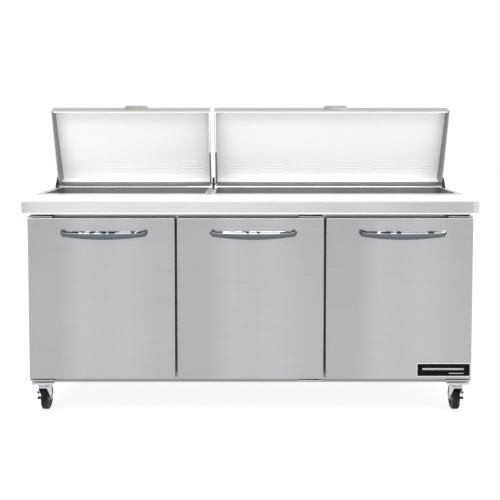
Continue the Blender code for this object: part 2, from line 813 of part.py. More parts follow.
def build_door(bench, side):
    """A double-skinned door with its gasket and bow handle, hung on two bracket pins."""
    left = DOOR_LEFT_EDGE[side]
    right = left + DOOR_WIDTH
    axis_x, axis_y = door_pivot(side)
    frame = f"door_{side}_frame"
    bench.frame(frame, (axis_x, axis_y, DOOR_BOTTOM))
    skin, block = DOOR_SKIN, PIN_BLOCK
    steps = [
        ("add", (left, DOOR_FACE, DOOR_BOTTOM), (right, DOOR_BACK, DOOR_TOP)),
        (
            "cut",
            (left + skin, DOOR_FACE + skin, DOOR_BOTTOM + skin),
            (right - skin, DOOR_BACK - skin, DOOR_TOP - skin),
        ),
    ]
    for low in (DOOR_BOTTOM, DOOR_TOP - block):
        steps.append(
            (
                "add",
                (max(left, axis_x - block), DOOR_FACE, low),
                (min(right, axis_x + block), axis_y + block, low + block),
            )
        )
    panel = carve(steps)
    bore = PIN_RADIUS + PIN_CLEARANCE
    deep = PIN_LENGTH + 0.002
    panel = cut(
        panel,
        rod(bore, -deep, 0.01, "z", (axis_x, axis_y, DOOR_TOP)),
        rod(bore, -0.01, deep, "z", (axis_x, axis_y, DOOR_BOTTOM)),
    )
    bench.piece(f"door_{side}_panel", panel, "brushed", frame)

    low = (left + GASKET_INSET, DOOR_BACK + GAP, DOOR_BOTTOM + GASKET_INSET)
    high = (right - GASKET_INSET, DOOR_BACK + GASKET_THICKNESS, DOOR_TOP - GASKET_INSET)
    seal = [
        ("add", low, high),
        (
            "cut",
            (low[0] + GASKET_WIDTH, -HUGE, low[2] + GASKET_WIDTH),
            (high[0] - GASKET_WIDTH, HUGE, high[2] - GASKET_WIDTH),
        ),
    ]
    bench.piece(f"door_{side}_gasket", carve(seal), "gasket", frame)
    build_handle(bench, side, (left + right) / 2 + HANDLE_SHIFT, frame)


def handle_section(turn, centre):
    """The handle's J-shaped section at turn, which runs from -1 to 1 along the handle."""
    top = DOOR_TOP - HANDLE_TOP_DROP + 0.010 * abs(turn) ** 12
    bottom = DOOR_TOP - HANDLE_TOP_DROP - HANDLE_HEIGHT + 0.021 * abs(turn) ** 4
    reach = 0.007 + (HANDLE_REACH - 0.007) * (1 - abs(turn) ** 6)
    tall = top - bottom
    sheet = HANDLE_SHEET
    outer = [(GAP, 0.0), (0.55 * reach, 0.06), (0.90 * reach, 0.30), (reach, 0.62), (reach, 1.0)]
    inner = [
        (reach - sheet, 1.0),
        (reach - sheet, 0.64),
        (0.90 * reach - 0.8 * sheet, 0.38),
        (0.55 * reach - 0.3 * sheet, 0.06 + sheet / tall),
        (GAP, sheet / tall),
    ]
    x = centre + turn * HANDLE_LENGTH / 2
    return [(x, DOOR_FACE - out, bottom + up * tall) for out, up in outer + inner]


def build_handle(bench, side, centre, frame):
    """A pressed bow handle, open at the top for the fingers."""
    stations = 16
    turns = [-math.cos(math.pi * step / stations) for step in range(stations + 1)]
    body = loft([handle_section(turn, centre) for turn in turns])
    bench.piece(f"door_{side}_handle", body, "chrome", frame, smooth=40)


def build_door_brackets(bench, side):
    """The top and bottom hinge brackets, each a folded plate with a fixed pin."""
    axis_x, axis_y = door_pivot(side)
    way = HINGE_SIDE[side]
    outer = axis_x + way * (DOOR_PIVOT_IN - 0.001)
    inner = outer - way * BRACKET_LENGTH
    low_x, high_x = min(outer, inner), max(outer, inner)
    near, back = DOOR_FACE - 0.003, FRAME_FRONT - GAP
    upright = back - BRACKET_SHEET * 0.75

    plate = DOOR_TOP + 0.0035
    top = carve(
        [
            ("add", (low_x, near, plate), (high_x, back, plate + BRACKET_SHEET)),
            ("add", (low_x, upright, plate), (high_x, back, WELL_TOP - 0.005)),
        ]
    )
    pin = rod(PIN_RADIUS, -PIN_LENGTH, plate - DOOR_TOP + 0.001, "z", (axis_x, axis_y, DOOR_TOP))
    bench.piece(f"hinge_top_{side}", joined(top, pin), "brushed")

    plate = DOOR_BOTTOM - 0.0035
    bottom = carve(
        [
            ("add", (low_x, near, plate - BRACKET_SHEET), (high_x, back, plate)),
            (
                "add",
                (low_x, upright, plate - BRACKET_SHEET),
                (high_x, back, DOOR_BOTTOM + GASKET_INSET - 0.002),
            ),
        ]
    )
    pin = rod(
        PIN_RADIUS, plate - DOOR_BOTTOM - 0.001, PIN_LENGTH, "z", (axis_x, axis_y, DOOR_BOTTOM)
    )
    bench.piece(f"hinge_bottom_{side}", joined(bottom, pin), "brushed")


def build_nameplate(bench):
    """A blank black plate low on the right door."""
    right = DOOR_LEFT_EDGE["right"] + DOOR_WIDTH - PLATE_INSET[0]
    bottom = DOOR_BOTTOM + PLATE_INSET[1]
    outline = rounded(
        (right - PLATE_SIZE[0], bottom), (right, bottom + PLATE_SIZE[1]), 0.006
    )
    plate = along_y(outline, DOOR_FACE - GAP - 0.001, DOOR_FACE - GAP)
    bench.piece("nameplate", plate, "enamel", "door_right_frame")


# ---------------------------------------------------------------- lids
def hood_outline(inset):
    """The closed hood's side view round its pivot, drawn in by inset at the top and ends."""
    bottom = LID_REST_GAP - LID_PIVOT_UP
    heel, toe = LID_HEEL - inset, -LID_REACH + inset
    slope = (LID_REAR_HEIGHT - LID_FRONT_HEIGHT) / (LID_HEEL + LID_REACH)
    fall = inset * math.hypot(1, slope)
    tall_heel = bottom + LID_REAR_HEIGHT - slope * inset - fall
    tall_toe = bottom + LID_FRONT_HEIGHT + slope * inset - fall
    return [(heel, bottom), (heel, tall_heel), (toe, tall_toe), (toe, bottom)]


def below(outline):
    """The outline with its open side carried down past the rim, for a cut."""
    return [(y, z if index in (1, 2) else z - 0.02) for index, (y, z) in enumerate(outline)]


def build_lid(bench, side):
    """One hood: a pressed shell with a finger tab, and the smooth liner inside it."""
    low, high = LID_SPANS[side]
    frame = f"lid_{side}_frame"
    bench.frame(frame, (0, LID_PIVOT_Y, LID_PIVOT_Z), -LID_OPEN)
    shell = along_x(hood_outline(0), low, high)
    hollow = below(hood_outline(LID_SHEET))
    shell = cut(shell, along_x(hollow, low + LID_SHEET, high - LID_SHEET))
    middle = (low + high) / 2 + TAB_SHIFT
    bottom = LID_REST_GAP - LID_PIVOT_UP
    top = bottom + LID_FRONT_HEIGHT - 0.002
    toe = -LID_REACH
    root = toe + LID_SHEET * 0.6
    half = TAB_LENGTH / 2
    tab = along_z(
        [
            (middle - half, root),
            (middle - half + TAB_REACH, toe - TAB_REACH),
            (middle + half - TAB_REACH, toe - TAB_REACH),
            (middle + half, root),
        ],
        top - TAB_THICKNESS,
        top,
    )
    shell = joined(shell, tab)
    hole = LID_PIN_RADIUS + PIN_CLEARANCE
    shell = cut(
        shell,
        rod(hole, -LID_SHEET, 2 * LID_SHEET, "x", (low, 0, 0)),
        rod(hole, -2 * LID_SHEET, LID_SHEET, "x", (high, 0, 0)),
    )
    bench.piece(f"lid_{side}_shell", shell, "brushed", frame, local=True)

    rim = LID_SHEET + GAP
    heel, toe = LID_HEEL - rim, -LID_REACH + rim
    foot = bottom + GAP
    flange = box((low + rim, toe, foot), (high - rim, heel, foot + LID_SHEET))
    start, end = low + LID_WALL, high - LID_WALL
    tray = [(y, max(z, foot)) for y, z in hood_outline(LID_WALL)]
    inner = below(hood_outline(LID_WALL + SKIN))
    liner = joined(along_x(tray, start, end), flange)
    liner = cut(liner, along_x(inner, start + SKIN, end - SKIN))
    bench.piece(f"lid_{side}_liner", liner, "satin", frame, local=True)


def bracket_outline():
    """A triangular ear's side view, standing on the rail with its round top at the back."""
    foot = RAIL_TOP + GAP
    top = foot + LID_BRACKET_HEIGHT
    rear = LID_PIVOT_Y + LID_BRACKET_BASE / 3
    front = rear - LID_BRACKET_BASE
    return [
        (front, foot),
        (rear, foot),
        (rear, foot + LID_BRACKET_HEIGHT * 0.45),
        (LID_PIVOT_Y + 0.006, top),
        (LID_PIVOT_Y - 0.008, top),
        (front, foot + 0.006),
    ]


def build_lid_brackets(bench):
    """Ears on the rail that carry the lids on short pins, one shared between the lids."""
    centre = (0, LID_PIVOT_Y, LID_PIVOT_Z)
    pin_reach = LID_WALL - 0.0005
    for side, way in (("left", -1), ("right", 1)):
        low, high = LID_SPANS[side]
        face = low if way < 0 else high
        outer = way * (HALF - 0.0009)
        inner = outer - way * LID_BRACKET_SHEET
        ear = along_x(bracket_outline(), min(outer, inner), max(outer, inner))
        tip = face - way * pin_reach
        root = inner + way * 0.001
        pin = rod(LID_PIN_RADIUS, min(tip, root), max(tip, root), "x", centre)
        bench.piece(f"lid_bracket_{side}", joined(ear, pin), "plastic")
    ear = along_x(
        bracket_outline(), DIVIDER_X - CENTRE_BRACKET / 2, DIVIDER_X + CENTRE_BRACKET / 2
    )
    pin = rod(
        LID_PIN_RADIUS,
        LID_SPANS["left"][1] - pin_reach,
        LID_SPANS["right"][0] + pin_reach,
        "x",
        centre,
    )
    bench.piece("lid_bracket_centre", joined(ear, pin), "plastic")


# ---------------------------------------------------------------- casters
def wheel_mesh():
    """A hard rubber wheel with a stepped hub, turned round the X axis."""
    bore = AXLE_RADIUS + PIN_CLEARANCE
    half = WHEEL_WIDTH / 2
    profile = [
        (bore, -half),
        (0.014, -half),
        (0.015, -half + 0.005),
        (0.036, -half + 0.005),
        (0.038, -half + 0.001),
        (WHEEL_RADIUS - 0.005, -half + 0.001),
        (WHEEL_RADIUS, -half + 0.006),
    ]
    profile += [(radius, -reach) for radius, reach in reversed(profile)]
    return turned(profile, "x", (0, CASTER_TRAIL, WHEEL_RADIUS), 20)


def fork_mesh(way):
    """A swivel fork round its kingpin; way is the outer side of the table."""
    race_top = CASTER_HEIGHT - GAP
    crown = 2 * WHEEL_RADIUS + CROWN_GAP
    crown_top = crown + 2 * FORK_SHEET
    leg_in = WHEEL_WIDTH / 2 + FORK_CLEARANCE
    leg_out = leg_in + FORK_SHEET
    axle_z = WHEEL_RADIUS
    race = turned(
        [
            (0, crown + FORK_SHEET),
            (RACE_RADIUS - 0.004, crown + FORK_SHEET),
            (RACE_RADIUS, crown_top + 0.004),
            (RACE_RADIUS, race_top - 0.006),
            (RACE_RADIUS - 0.004, race_top),
            (KINGPIN_RADIUS, race_top),
            (KINGPIN_RADIUS, race_top + 0.004),
            (0, race_top + 0.004),
        ],
        "z",
        (0, 0, 0),
        20,
    )
    top = box((-leg_out, -0.026, crown), (leg_out, CASTER_TRAIL, crown_top))
    boss = 0.012
    arc = [
        (
            CASTER_TRAIL + boss * math.cos(angle),
            axle_z + boss * math.sin(angle),
        )
        for angle in [math.radians(value) for value in (-160, -115, -70, -25, 20)]
    ]
    leg = [(-0.026, crown_top - 0.001)] + [(-0.026, crown - 0.004)] + arc
    leg += [(CASTER_TRAIL, crown - 0.004), (CASTER_TRAIL - 0.002, crown_top - 0.001)]
    legs = [
        along_x(leg, low, low + FORK_SHEET) for low in (-leg_out, leg_in)
    ]
    inner_end = -leg_out - 0.005
    outer_end = leg_out + 0.0065
    axle = rod(AXLE_RADIUS, inner_end, outer_end, "x", (0, CASTER_TRAIL, axle_z), 12)
    nut = rod(0.007, inner_end, -leg_in - 0.001, "x", (0, CASTER_TRAIL, axle_z), 6)
    made = joined(race, top, *legs, axle, nut)
    if way < 0:
        mirror_x(made)
    return made


def mirror_x(made):
    """Turn a mesh into its mirror image across X, with its faces still outward."""
    made.transform(Matrix.Scale(-1, 4, (1, 0, 0)))
    made.flip_normals()


def pedal_mesh(way):
    """The two-winged brake rocker on the outer end of a front axle."""
    plate = WHEEL_WIDTH / 2 + FORK_CLEARANCE + FORK_SHEET + 0.0012
    axle_z = WHEEL_RADIUS
    wing = 0.0045
    steps = [
        (
            "add",
            (plate, CASTER_TRAIL - 0.008, axle_z - 0.010),
            (plate + 0.003, CASTER_TRAIL + 0.008, axle_z + 0.024),
        ),
        (
            "add",
            (plate, CASTER_TRAIL - 0.012, axle_z + 0.017),
            (plate + PEDAL_REACH, CASTER_TRAIL + 0.012, axle_z + 0.017 + wing),
        ),
        (
            "add",
            (plate, CASTER_TRAIL - 0.012, axle_z - 0.008),
            (plate + PEDAL_REACH, CASTER_TRAIL + 0.012, axle_z - 0.008 + wing),
        ),
    ]
    hole = rod(
        AXLE_RADIUS + PIN_CLEARANCE, plate - 0.01, plate + 0.03, "x", (0, CASTER_TRAIL, axle_z)
    )
    made = cut(carve(steps), hole)
    if way < 0:
        mirror_x(made)
    return made


def build_casters(bench):
    """Four swivel casters, the front pair with brake rockers."""
    for end, place in STEM_Y.items():
        for side, way in (("left", -1), ("right", 1)):
            stem = Vector((way * STEM_X, place, 0))
            name = f"caster_{end}_{side}"
            bench.frame(f"{name}_swivel", stem + Vector((0, 0, CASTER_HEIGHT)))
            bench.frame(f"{name}_axle", stem + Vector((0, CASTER_TRAIL, WHEEL_RADIUS)))
            fork = fork_mesh(way)
            fork.transform(Matrix.Translation(stem))
            bench.piece(f"{name}_fork", fork, "chrome", f"{name}_swivel", smooth=35)
            wheel = wheel_mesh()
            wheel.transform(Matrix.Translation(stem))
            bench.piece(f"{name}_wheel", wheel, "rubber", f"{name}_axle", smooth=35)
            if end == "front":
                pedal = pedal_mesh(way)
                pedal.transform(Matrix.Translation(stem))
                bench.piece(f"{name}_brake", pedal, "plastic", f"{name}_axle")


# ---------------------------------------------------------------- machinery
def fan_mesh(radius, hub, length, centre):
    """A fan on the Y axis: a bored hub with pitched blades."""
    bore = AXLE_RADIUS + PIN_CLEARANCE
    body = turned([(bore, 0), (hub, 0), (hub, length), (bore, length)], "y", (0, 0, 0), 20)
    for index in range(FAN_BLADES):
        blade = box((hub - 0.003, -0.0012, -0.016), (radius, 0.0012, 0.016))
        pitch = Matrix.Rotation(math.radians(30), 4, "X")
        spin = Matrix.Rotation(2 * math.pi * index / FAN_BLADES, 4, "Y")
        blade.transform(Matrix.Translation((0, length / 2, 0)) @ spin @ pitch)
        body = joined(body, blade)
    body.transform(Matrix.Translation(centre))
    return body


def finned(low, high, fins, spine, share=0.5):
    """A coil block cut into fins along X, held together by a spine at its rear."""
    steps = [("add", low, high)]
    pitch = (high[0] - low[0]) / fins
    for index in range(fins - 1):
        start = low[0] + (index + 1 - share / 2) * pitch
        steps.append(
            ("cut", (start, -HUGE, -HUGE), (start + share * pitch, high[1] - spine, HUGE))
        )
    return carve(steps)


def build_evaporator(bench):
    """The finned evaporator on the rear wall, with its fan on a motor stub beside it."""
    rear = ROOM_REAR - 0.003
    low, high = WELL_BOTTOM - 0.170, WELL_BOTTOM - 0.012
    coil = finned((-0.230, rear - 0.085, low), (0.100, rear, high), 12, 0.025)
    fan_x, fan_z = 0.180, (low + high) / 2
    plate = box((0.090, rear - 0.010, low), (0.245, rear, high))
    motor = rod(0.024, -0.055, -0.008, "y", (fan_x, rear, fan_z), 20)
    stub = rod(AXLE_RADIUS, -0.085, -0.050, "y", (fan_x, rear, fan_z), 12)
    bench.piece("evaporator_coil", joined(coil, plate, motor, stub), "aluminium")
    fan_front = (fan_x, rear - 0.080, fan_z)
    bench.frame("evaporator_fan_frame", fan_front)
    fan = fan_mesh(EVAPORATOR_FAN_RADIUS, 0.016, 0.020, fan_front)
    bench.piece("evaporator_fan", fan, "plastic", "evaporator_fan_frame")


def build_machine_bay(bench):
    """Compressor, condenser with its fan, behind the rear grille."""
    floor = BASE_TOP + GAP
    rear = CAB_REAR - SKIN - 0.006
    can_x = INNER_HALF - 0.050 - COMPRESSOR_RADIUS
    can_y = (BAY_FRONT + rear) / 2
    radius, tall = COMPRESSOR_RADIUS, COMPRESSOR_HEIGHT
    can = turned(
        [
            (0, 0.012),
            (radius * 0.80, 0.012),
            (radius, 0.030),
            (radius, tall * 0.62),
            (radius * 0.96, tall * 0.80),
            (radius * 0.72, tall * 0.95),
            (radius * 0.35, tall),
            (0, tall),
        ],
        "z",
        (can_x, can_y, floor),
        24,
    )
    feet = box(
        (can_x - radius - 0.012, can_y - radius * 0.72, floor),
        (can_x + radius + 0.012, can_y + radius * 0.72, floor + 0.014),
    )
    bench.piece("compressor", joined(can, feet), "enamel")

    left = BAY_LEFT + BAY_RIM
    right = left + CONDENSER_SIZE[0]
    low, high = floor, floor + CONDENSER_SIZE[1]
    coil = finned((left, rear - 0.045, low), (right, rear, high), 10, 0.020)
    fan_x, fan_z = (left + right) / 2, (low + high) / 2
    arm = box((left, rear - 0.130, low), (right, rear - 0.010, low + 0.004))
    post = box((fan_x - 0.012, rear - 0.130, low), (fan_x + 0.012, rear - 0.118, fan_z + 0.012))
    motor = rod(0.026, -0.125, -0.085, "y", (fan_x, rear, fan_z), 20)
    stub = rod(AXLE_RADIUS, -0.090, -0.055, "y", (fan_x, rear, fan_z), 12)
    bench.piece("condenser_coil", joined(coil, arm, post, motor, stub), "aluminium")
    fan_front = (fan_x, rear - 0.082, fan_z)
    bench.frame("condenser_fan_frame", fan_front)
    fan = fan_mesh(CONDENSER_FAN_RADIUS, 0.020, 0.022, fan_front)
    bench.piece("condenser_fan", fan, "plastic", "condenser_fan_frame")


def build_controls(bench):
    """The temperature control and the cable gland on the back panel."""
    face = CAB_REAR + GAP
    middle_x, middle_z = BAY_LEFT - 0.110, BAY_TOP - 0.050
    bezel = along_y(
        rounded((middle_x - 0.055, middle_z - 0.030), (middle_x + 0.055, middle_z + 0.030), 0.006),
        face,
        face + 0.003,
    )
    stub_y = face + 0.002
    stub = rod(0.003, 0, 0.006, "y", (middle_x, stub_y, middle_z), 12)
    bench.piece("control_panel", joined(bezel, stub), "plastic")
    knob_y = face + 0.003 + GAP
    knob = turned(
        [(0.0035, 0), (0.014, 0), (0.013, 0.007), (0.0035, 0.007)],
        "y",
        (middle_x, knob_y, middle_z),
        24,
    )
    ridge = box(
        (middle_x - 0.0018, knob_y + 0.005, middle_z + 0.005),
        (middle_x + 0.0018, knob_y + 0.0085, middle_z + 0.012),
    )
    bench.frame("knob_frame", (middle_x, knob_y, middle_z))
    bench.piece("control_knob", joined(knob, ridge), "plastic", "knob_frame")

    gland = turned(
        [
            (0.0045, 0),
            (0.013, 0),
            (0.013, 0.004),
            (0.009, 0.005),
            (0.008, 0.0125),
            (0.0045, 0.0125),
        ],
        "y",
        (middle_x, face, BASE_TOP + 0.050),
        20,
    )
    bench.piece("cord_gland", gland, "plastic")


def main():
    """Clear the scene and build the table."""
    for item in list(bpy.data.objects):
        bpy.data.objects.remove(item)
    bench = Bench()
    build_worktop(bench)
    build_pan_well(bench)
    for side in OPENINGS:
        for row in ROWS:
            build_pan_row(bench, side, row)
    build_cabinet(bench)
    for side in DOORS:
        build_door(bench, side)
        build_door_brackets(bench, side)
        build_shelf(bench, side)
    build_nameplate(bench)
    for side in LID_SPANS:
        build_lid(bench, side)
    build_lid_brackets(bench)
    build_casters(bench)
    build_evaporator(bench)
    build_machine_bay(bench)
    build_controls(bench)


main()
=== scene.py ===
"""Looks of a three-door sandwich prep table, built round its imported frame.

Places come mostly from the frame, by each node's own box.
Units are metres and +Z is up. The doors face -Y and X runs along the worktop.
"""

from __future__ import annotations

import json
import logging
import math
from collections.abc import Callable, Iterable, Sequence
from dataclasses import dataclass
from enum import Enum

import bmesh
import bpy
from mathutils import Matrix, Vector

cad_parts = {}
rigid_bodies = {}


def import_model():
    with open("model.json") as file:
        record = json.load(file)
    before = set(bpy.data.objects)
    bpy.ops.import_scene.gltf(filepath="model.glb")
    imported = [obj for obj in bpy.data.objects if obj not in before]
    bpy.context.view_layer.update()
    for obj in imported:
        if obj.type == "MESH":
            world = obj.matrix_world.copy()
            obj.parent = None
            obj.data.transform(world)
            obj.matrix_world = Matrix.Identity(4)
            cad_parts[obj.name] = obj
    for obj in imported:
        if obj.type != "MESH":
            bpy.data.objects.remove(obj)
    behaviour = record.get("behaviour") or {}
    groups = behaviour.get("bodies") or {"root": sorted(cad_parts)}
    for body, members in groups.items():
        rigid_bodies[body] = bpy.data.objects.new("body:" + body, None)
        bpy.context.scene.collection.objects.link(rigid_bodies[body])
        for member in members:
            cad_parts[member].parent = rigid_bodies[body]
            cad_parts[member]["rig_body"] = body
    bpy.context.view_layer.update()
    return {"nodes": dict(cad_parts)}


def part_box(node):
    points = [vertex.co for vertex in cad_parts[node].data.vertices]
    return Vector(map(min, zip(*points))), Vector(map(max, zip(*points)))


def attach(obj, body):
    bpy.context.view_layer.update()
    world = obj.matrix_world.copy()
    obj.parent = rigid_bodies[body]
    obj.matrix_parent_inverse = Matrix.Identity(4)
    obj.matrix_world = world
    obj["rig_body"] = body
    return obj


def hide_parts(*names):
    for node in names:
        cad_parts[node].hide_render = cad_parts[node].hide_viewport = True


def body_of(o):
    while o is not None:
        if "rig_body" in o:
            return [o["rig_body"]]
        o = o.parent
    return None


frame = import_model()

LOG = logging.getLogger("prep_table")
SIDES = ("left", "right")
DOORS = ("left", "middle", "right")

Colour = tuple[float, float, float]
Point = Sequence[float]
Outline = list[tuple[float, float]]


class Axis(Enum):
    """A direction of the frame, by the index of its coordinate."""

    X = 0
    Y = 1
    Z = 2

    def unit(self) -> Vector:
        """The unit vector along the axis."""
        return Vector([float(index == self.value) for index in range(3)])


# ------------------------------------------------------------------ shader maths
class Value:
    """A number socket. Arithmetic on it adds Math nodes to its recipe."""

    def __init__(self, recipe: Recipe, socket: bpy.types.NodeSocket) -> None:
        """Keep the socket with the recipe that it belongs to.

        Args:
            recipe: The recipe that new nodes go into.
            socket: The output that carries the number.
        """
        self.recipe = recipe
        self.socket = socket

    def _maths(self, operation: str, *terms: Value | float) -> Value:
        """One Math node.

        Args:
            operation: The node's operation.
            terms: Its inputs, in order.

        Returns:
            The node's result.
        """
        inputs = dict(enumerate(terms))
        made = self.recipe.node("ShaderNodeMath", {"operation": operation}, inputs)
        return Value(self.recipe, made.outputs[0])

    def __add__(self, other: Value | float) -> Value:
        """The sum with another number."""
        return self._maths("ADD", self, other)

    def __radd__(self, other: float) -> Value:
        """The sum with a plain number in front."""
        return self._maths("ADD", other, self)

    def __sub__(self, other: Value | float) -> Value:
        """The difference from another number."""
        return self._maths("SUBTRACT", self, other)

    def __rsub__(self, other: float) -> Value:
        """A plain number less this one."""
        return self._maths("SUBTRACT", other, self)

    def __mul__(self, other: Value | float) -> Value:
        """The product with another number."""
        return self._maths("MULTIPLY", self, other)

    def __rmul__(self, other: float) -> Value:
        """The product with a plain number in front."""
        return self._maths("MULTIPLY", other, self)

    def __abs__(self) -> Value:
        """The number without its sign."""
        return self._maths("ABSOLUTE", self)

    def rise(self, low: float, high: float) -> Value:
        """A smooth step.

        Args:
            low: Where the step leaves 0.
            high: Where it reaches 1.

        Returns:
            0 below low, 1 above high, and a smooth curve between.
        """
        made = self.recipe.node(
            "ShaderNodeMapRange",
            {"interpolation_type": "SMOOTHSTEP"},
            {"Value": self, "From Min": low, "From Max": high},
        )
        return Value(self.recipe, made.outputs[0])


class Recipe:
    """A material's node tree, filled through one method that makes nodes."""

    def __init__(self, name: str) -> None:
        """Start an empty tree.

        Args:
            name: The material's name.
        """
        self.material = bpy.data.materials.new(name)
        self.material.use_nodes = True
        self.tree = self.material.node_tree
        self.tree.nodes.clear()

    def node(self, kind: str, settings: dict = {}, inputs: dict = {}) -> bpy.types.Node:
        """Any node, with its settings made before its sockets.

        Args:
            kind: The node's type.
            settings: Its properties by name; stops are a colour ramp's.
            inputs: A value or a link for each socket, by name or by index.

        Returns:
            The new node.
        """
        made = self.tree.nodes.new(kind)
        for name, value in settings.items():
            if name == "stops":
                self._set_stops(made.color_ramp, value)
            else:
                setattr(made, name, value)
        for key, value in inputs.items():
            given = value.socket if isinstance(value, Value) else value
            if isinstance(given, bpy.types.NodeSocket):
                self.tree.links.new(given, made.inputs[key])
            else:
                made.inputs[key].default_value = given
        return made

    @staticmethod
    def _set_stops(ramp: bpy.types.ColorRamp, stops: Sequence[tuple[float, Colour]]) -> None:
        """Give a colour ramp its stops.

        Args:
            ramp: The ramp to fill.
            stops: Places from 0 to 1, each with its colour.
        """
        while len(ramp.elements) < len(stops):
            ramp.elements.new(0.5)
        for element, (place, colour) in zip(ramp.elements, stops):
            element.position = place
            element.color = (*colour, 1.0)

    def place(self) -> bpy.types.NodeSocket:
        """Where a point lies on its piece at rest, in metres."""
        return self.node("ShaderNodeTexCoord").outputs["Object"]

    def along(self, vector: bpy.types.NodeSocket, axis: Axis) -> Value:
        """One coordinate of a vector."""
        made = self.node("ShaderNodeSeparateXYZ", {}, {0: vector})
        return Value(self, made.outputs[axis.value])

    def stretch(self, vector: bpy.types.NodeSocket, by: Point) -> bpy.types.NodeSocket:
        """A vector with each coordinate multiplied.

        Args:
            vector: The vector to stretch.
            by: The factor for each coordinate.

        Returns:
            The stretched vector.
        """
        settings = {"operation": "MULTIPLY"}
        return self.node("ShaderNodeVectorMath", settings, {0: vector, 1: by}).outputs[0]

    def noise(self, vector: bpy.types.NodeSocket, scale: float, detail: float = 2.0) -> Value:
        """Smooth noise round 0.5.

        Args:
            vector: Where it is read.
            scale: How many grains there are in a unit of the vector.
            detail: How many finer layers it has.

        Returns:
            The noise.
        """
        inputs = {"Vector": vector, "Scale": scale, "Detail": detail}
        return Value(self, self.node("ShaderNodeTexNoise", {}, inputs).outputs[0])

    def cells(self, vector: bpy.types.NodeSocket, scale: float, output: str) -> Value:
        """Cell noise, such as zinc spangle or a pebbled skin.

        Args:
            vector: Where it is read.
            scale: How many cells there are in a unit of the vector.
            output: Distance, for a bowl in each cell, or Color, for a tone to each.

        Returns:
            The noise.
        """
        made = self.node("ShaderNodeTexVoronoi", {}, {"Vector": vector, "Scale": scale})
        return Value(self, made.outputs[output])

    def blend(self, share: Value, first: object, second: object) -> bpy.types.NodeSocket:
        """A mix of two colours.

        Args:
            share: How much of the second there is, from 0 to 1.
            first: A colour or its socket.
            second: A colour or its socket.

        Returns:
            The mixed colour.
        """
        pair = [
            (*each, 1.0) if isinstance(each, tuple) else each for each in (first, second)
        ]
        inputs = {0: share, 6: pair[0], 7: pair[1]}
        return self.node("ShaderNodeMix", {"data_type": "RGBA"}, inputs).outputs[2]

    def lit(self, colour: object, by: Value) -> bpy.types.NodeSocket:
        """A colour made lighter or darker.

        Args:
            colour: A colour or its socket.
            by: What it is multiplied by.

        Returns:
            The new colour.
        """
        inputs = {0: colour, "Scale": by}
        return self.node("ShaderNodeVectorMath", {"operation": "SCALE"}, inputs).outputs[0]

    def bump(self, height: Value, distance: float) -> bpy.types.NodeSocket:
        """A normal pushed about by a height.

        Args:
            height: The height, in units of distance.
            distance: How far one unit of it stands up, in metres.

        Returns:
            The normal.
        """
        return self.node("ShaderNodeBump", {}, {"Height": height, "Distance": distance}).outputs[0]

    def surface(self, inputs: dict) -> bpy.types.Material:
        """Close the tree with a Principled shader.

        Args:
            inputs: A value or a link for each of the shader's sockets that is set.

        Returns:
            The finished material.
        """
        shader = self.node("ShaderNodeBsdfPrincipled", {}, inputs)
        self.node("ShaderNodeOutputMaterial", {}, {"Surface": shader.outputs[0]})
        return self.material


# ------------------------------------------------------------------ finishes
@dataclass(frozen=True)
class Finish:
    """A surface finish: its name, and the record's slot that it belongs to."""

    name: str
    slot: str

    def material(self) -> bpy.types.Material:
        """The finish as a material, made once.

        Returns:
            The material that every piece of this finish shares.
        """
        return bpy.data.materials.get(self.name) or self.mix()

    def mix(self) -> bpy.types.Material:
        """Make the material; each finish has its own way."""
        raise NotImplementedError


@dataclass(frozen=True)
class BrushedSteel(Finish):
    """Stainless steel with a brushed grain, and, where given, soft light and dark bands: a painted reflection
    laid into the base colour.
    """

    tone: Colour = (0.52, 0.52, 0.53)
    roughness: float = 0.30
    grain: Axis = Axis.X
    contrast: float = 0.16
    bands: tuple[tuple[float, float | Colour], ...] = ()
    span: tuple[float, float] = (-1.0, 1.0)

    FINE = 1500.0
    COARSE = 260.0
    LENGTH = 5.0

    def _streaks(self, recipe: Recipe, across: float) -> Value:
        """Noise drawn out along the grain.

        Args:
            recipe: The recipe to add it to.
            across: How many streaks there are in a metre across the grain.

        Returns:
            The noise.
        """
        by = [across] * 3
        by[self.grain.value] = self.LENGTH
        return recipe.noise(recipe.stretch(recipe.place(), by), 1.0, 3.0)

    def _sheen(self, recipe: Recipe) -> bpy.types.NodeSocket | None:
        """Painted reflection: soft light and dark bands across the sheet, laid into its base colour.

        Args:
            recipe: The recipe to add them to.

        Returns:
            A tint for each place along X, or nothing where the sheet has no bands.
        """
        if not self.bands:
            return None
        x = recipe.along(recipe.place(), Axis.X)
        low, high = self.span
        share = (x - low) * (1.0 / (high - low))
        stops = [
            (place, tint if isinstance(tint, tuple) else (tint,) * 3) for place, tint in self.bands
        ]
        inputs = {"Fac": share}
        settings = {"stops": stops}
        return recipe.node("ShaderNodeValToRGB", settings, inputs).outputs[0]

    def mix(self) -> bpy.types.Material:
        """The grain as streaks of tone, roughness and height."""
        recipe = Recipe(self.name)
        fine = self._streaks(recipe, self.FINE)
        coarse = self._streaks(recipe, self.COARSE)
        cloud = recipe.noise(recipe.place(), 2.6, 3.0)
        streak = (fine - 0.5) * self.contrast + (coarse - 0.5) * self.contrast
        light = 1.0 + streak + (cloud - 0.5) * 0.10
        colour = self.tone
        # Painted reflection: the bands tint the base colour along X.
        reflection_tint = self._sheen(recipe)
        if reflection_tint is not None:
            settings = {"operation": "MULTIPLY"}
            colour = recipe.node("ShaderNodeVectorMath", settings, {0: self.tone, 1: reflection_tint})
            colour = colour.outputs[0]
        return recipe.surface(
            {
                "Base Color": recipe.lit(colour, light),
                "Metallic": 1.0,
                "Roughness": self.roughness + (fine - 0.5) * 0.12 + (cloud - 0.5) * 0.06,
                "Normal": recipe.bump(fine + coarse * 0.5, 0.00004),
            }
        )


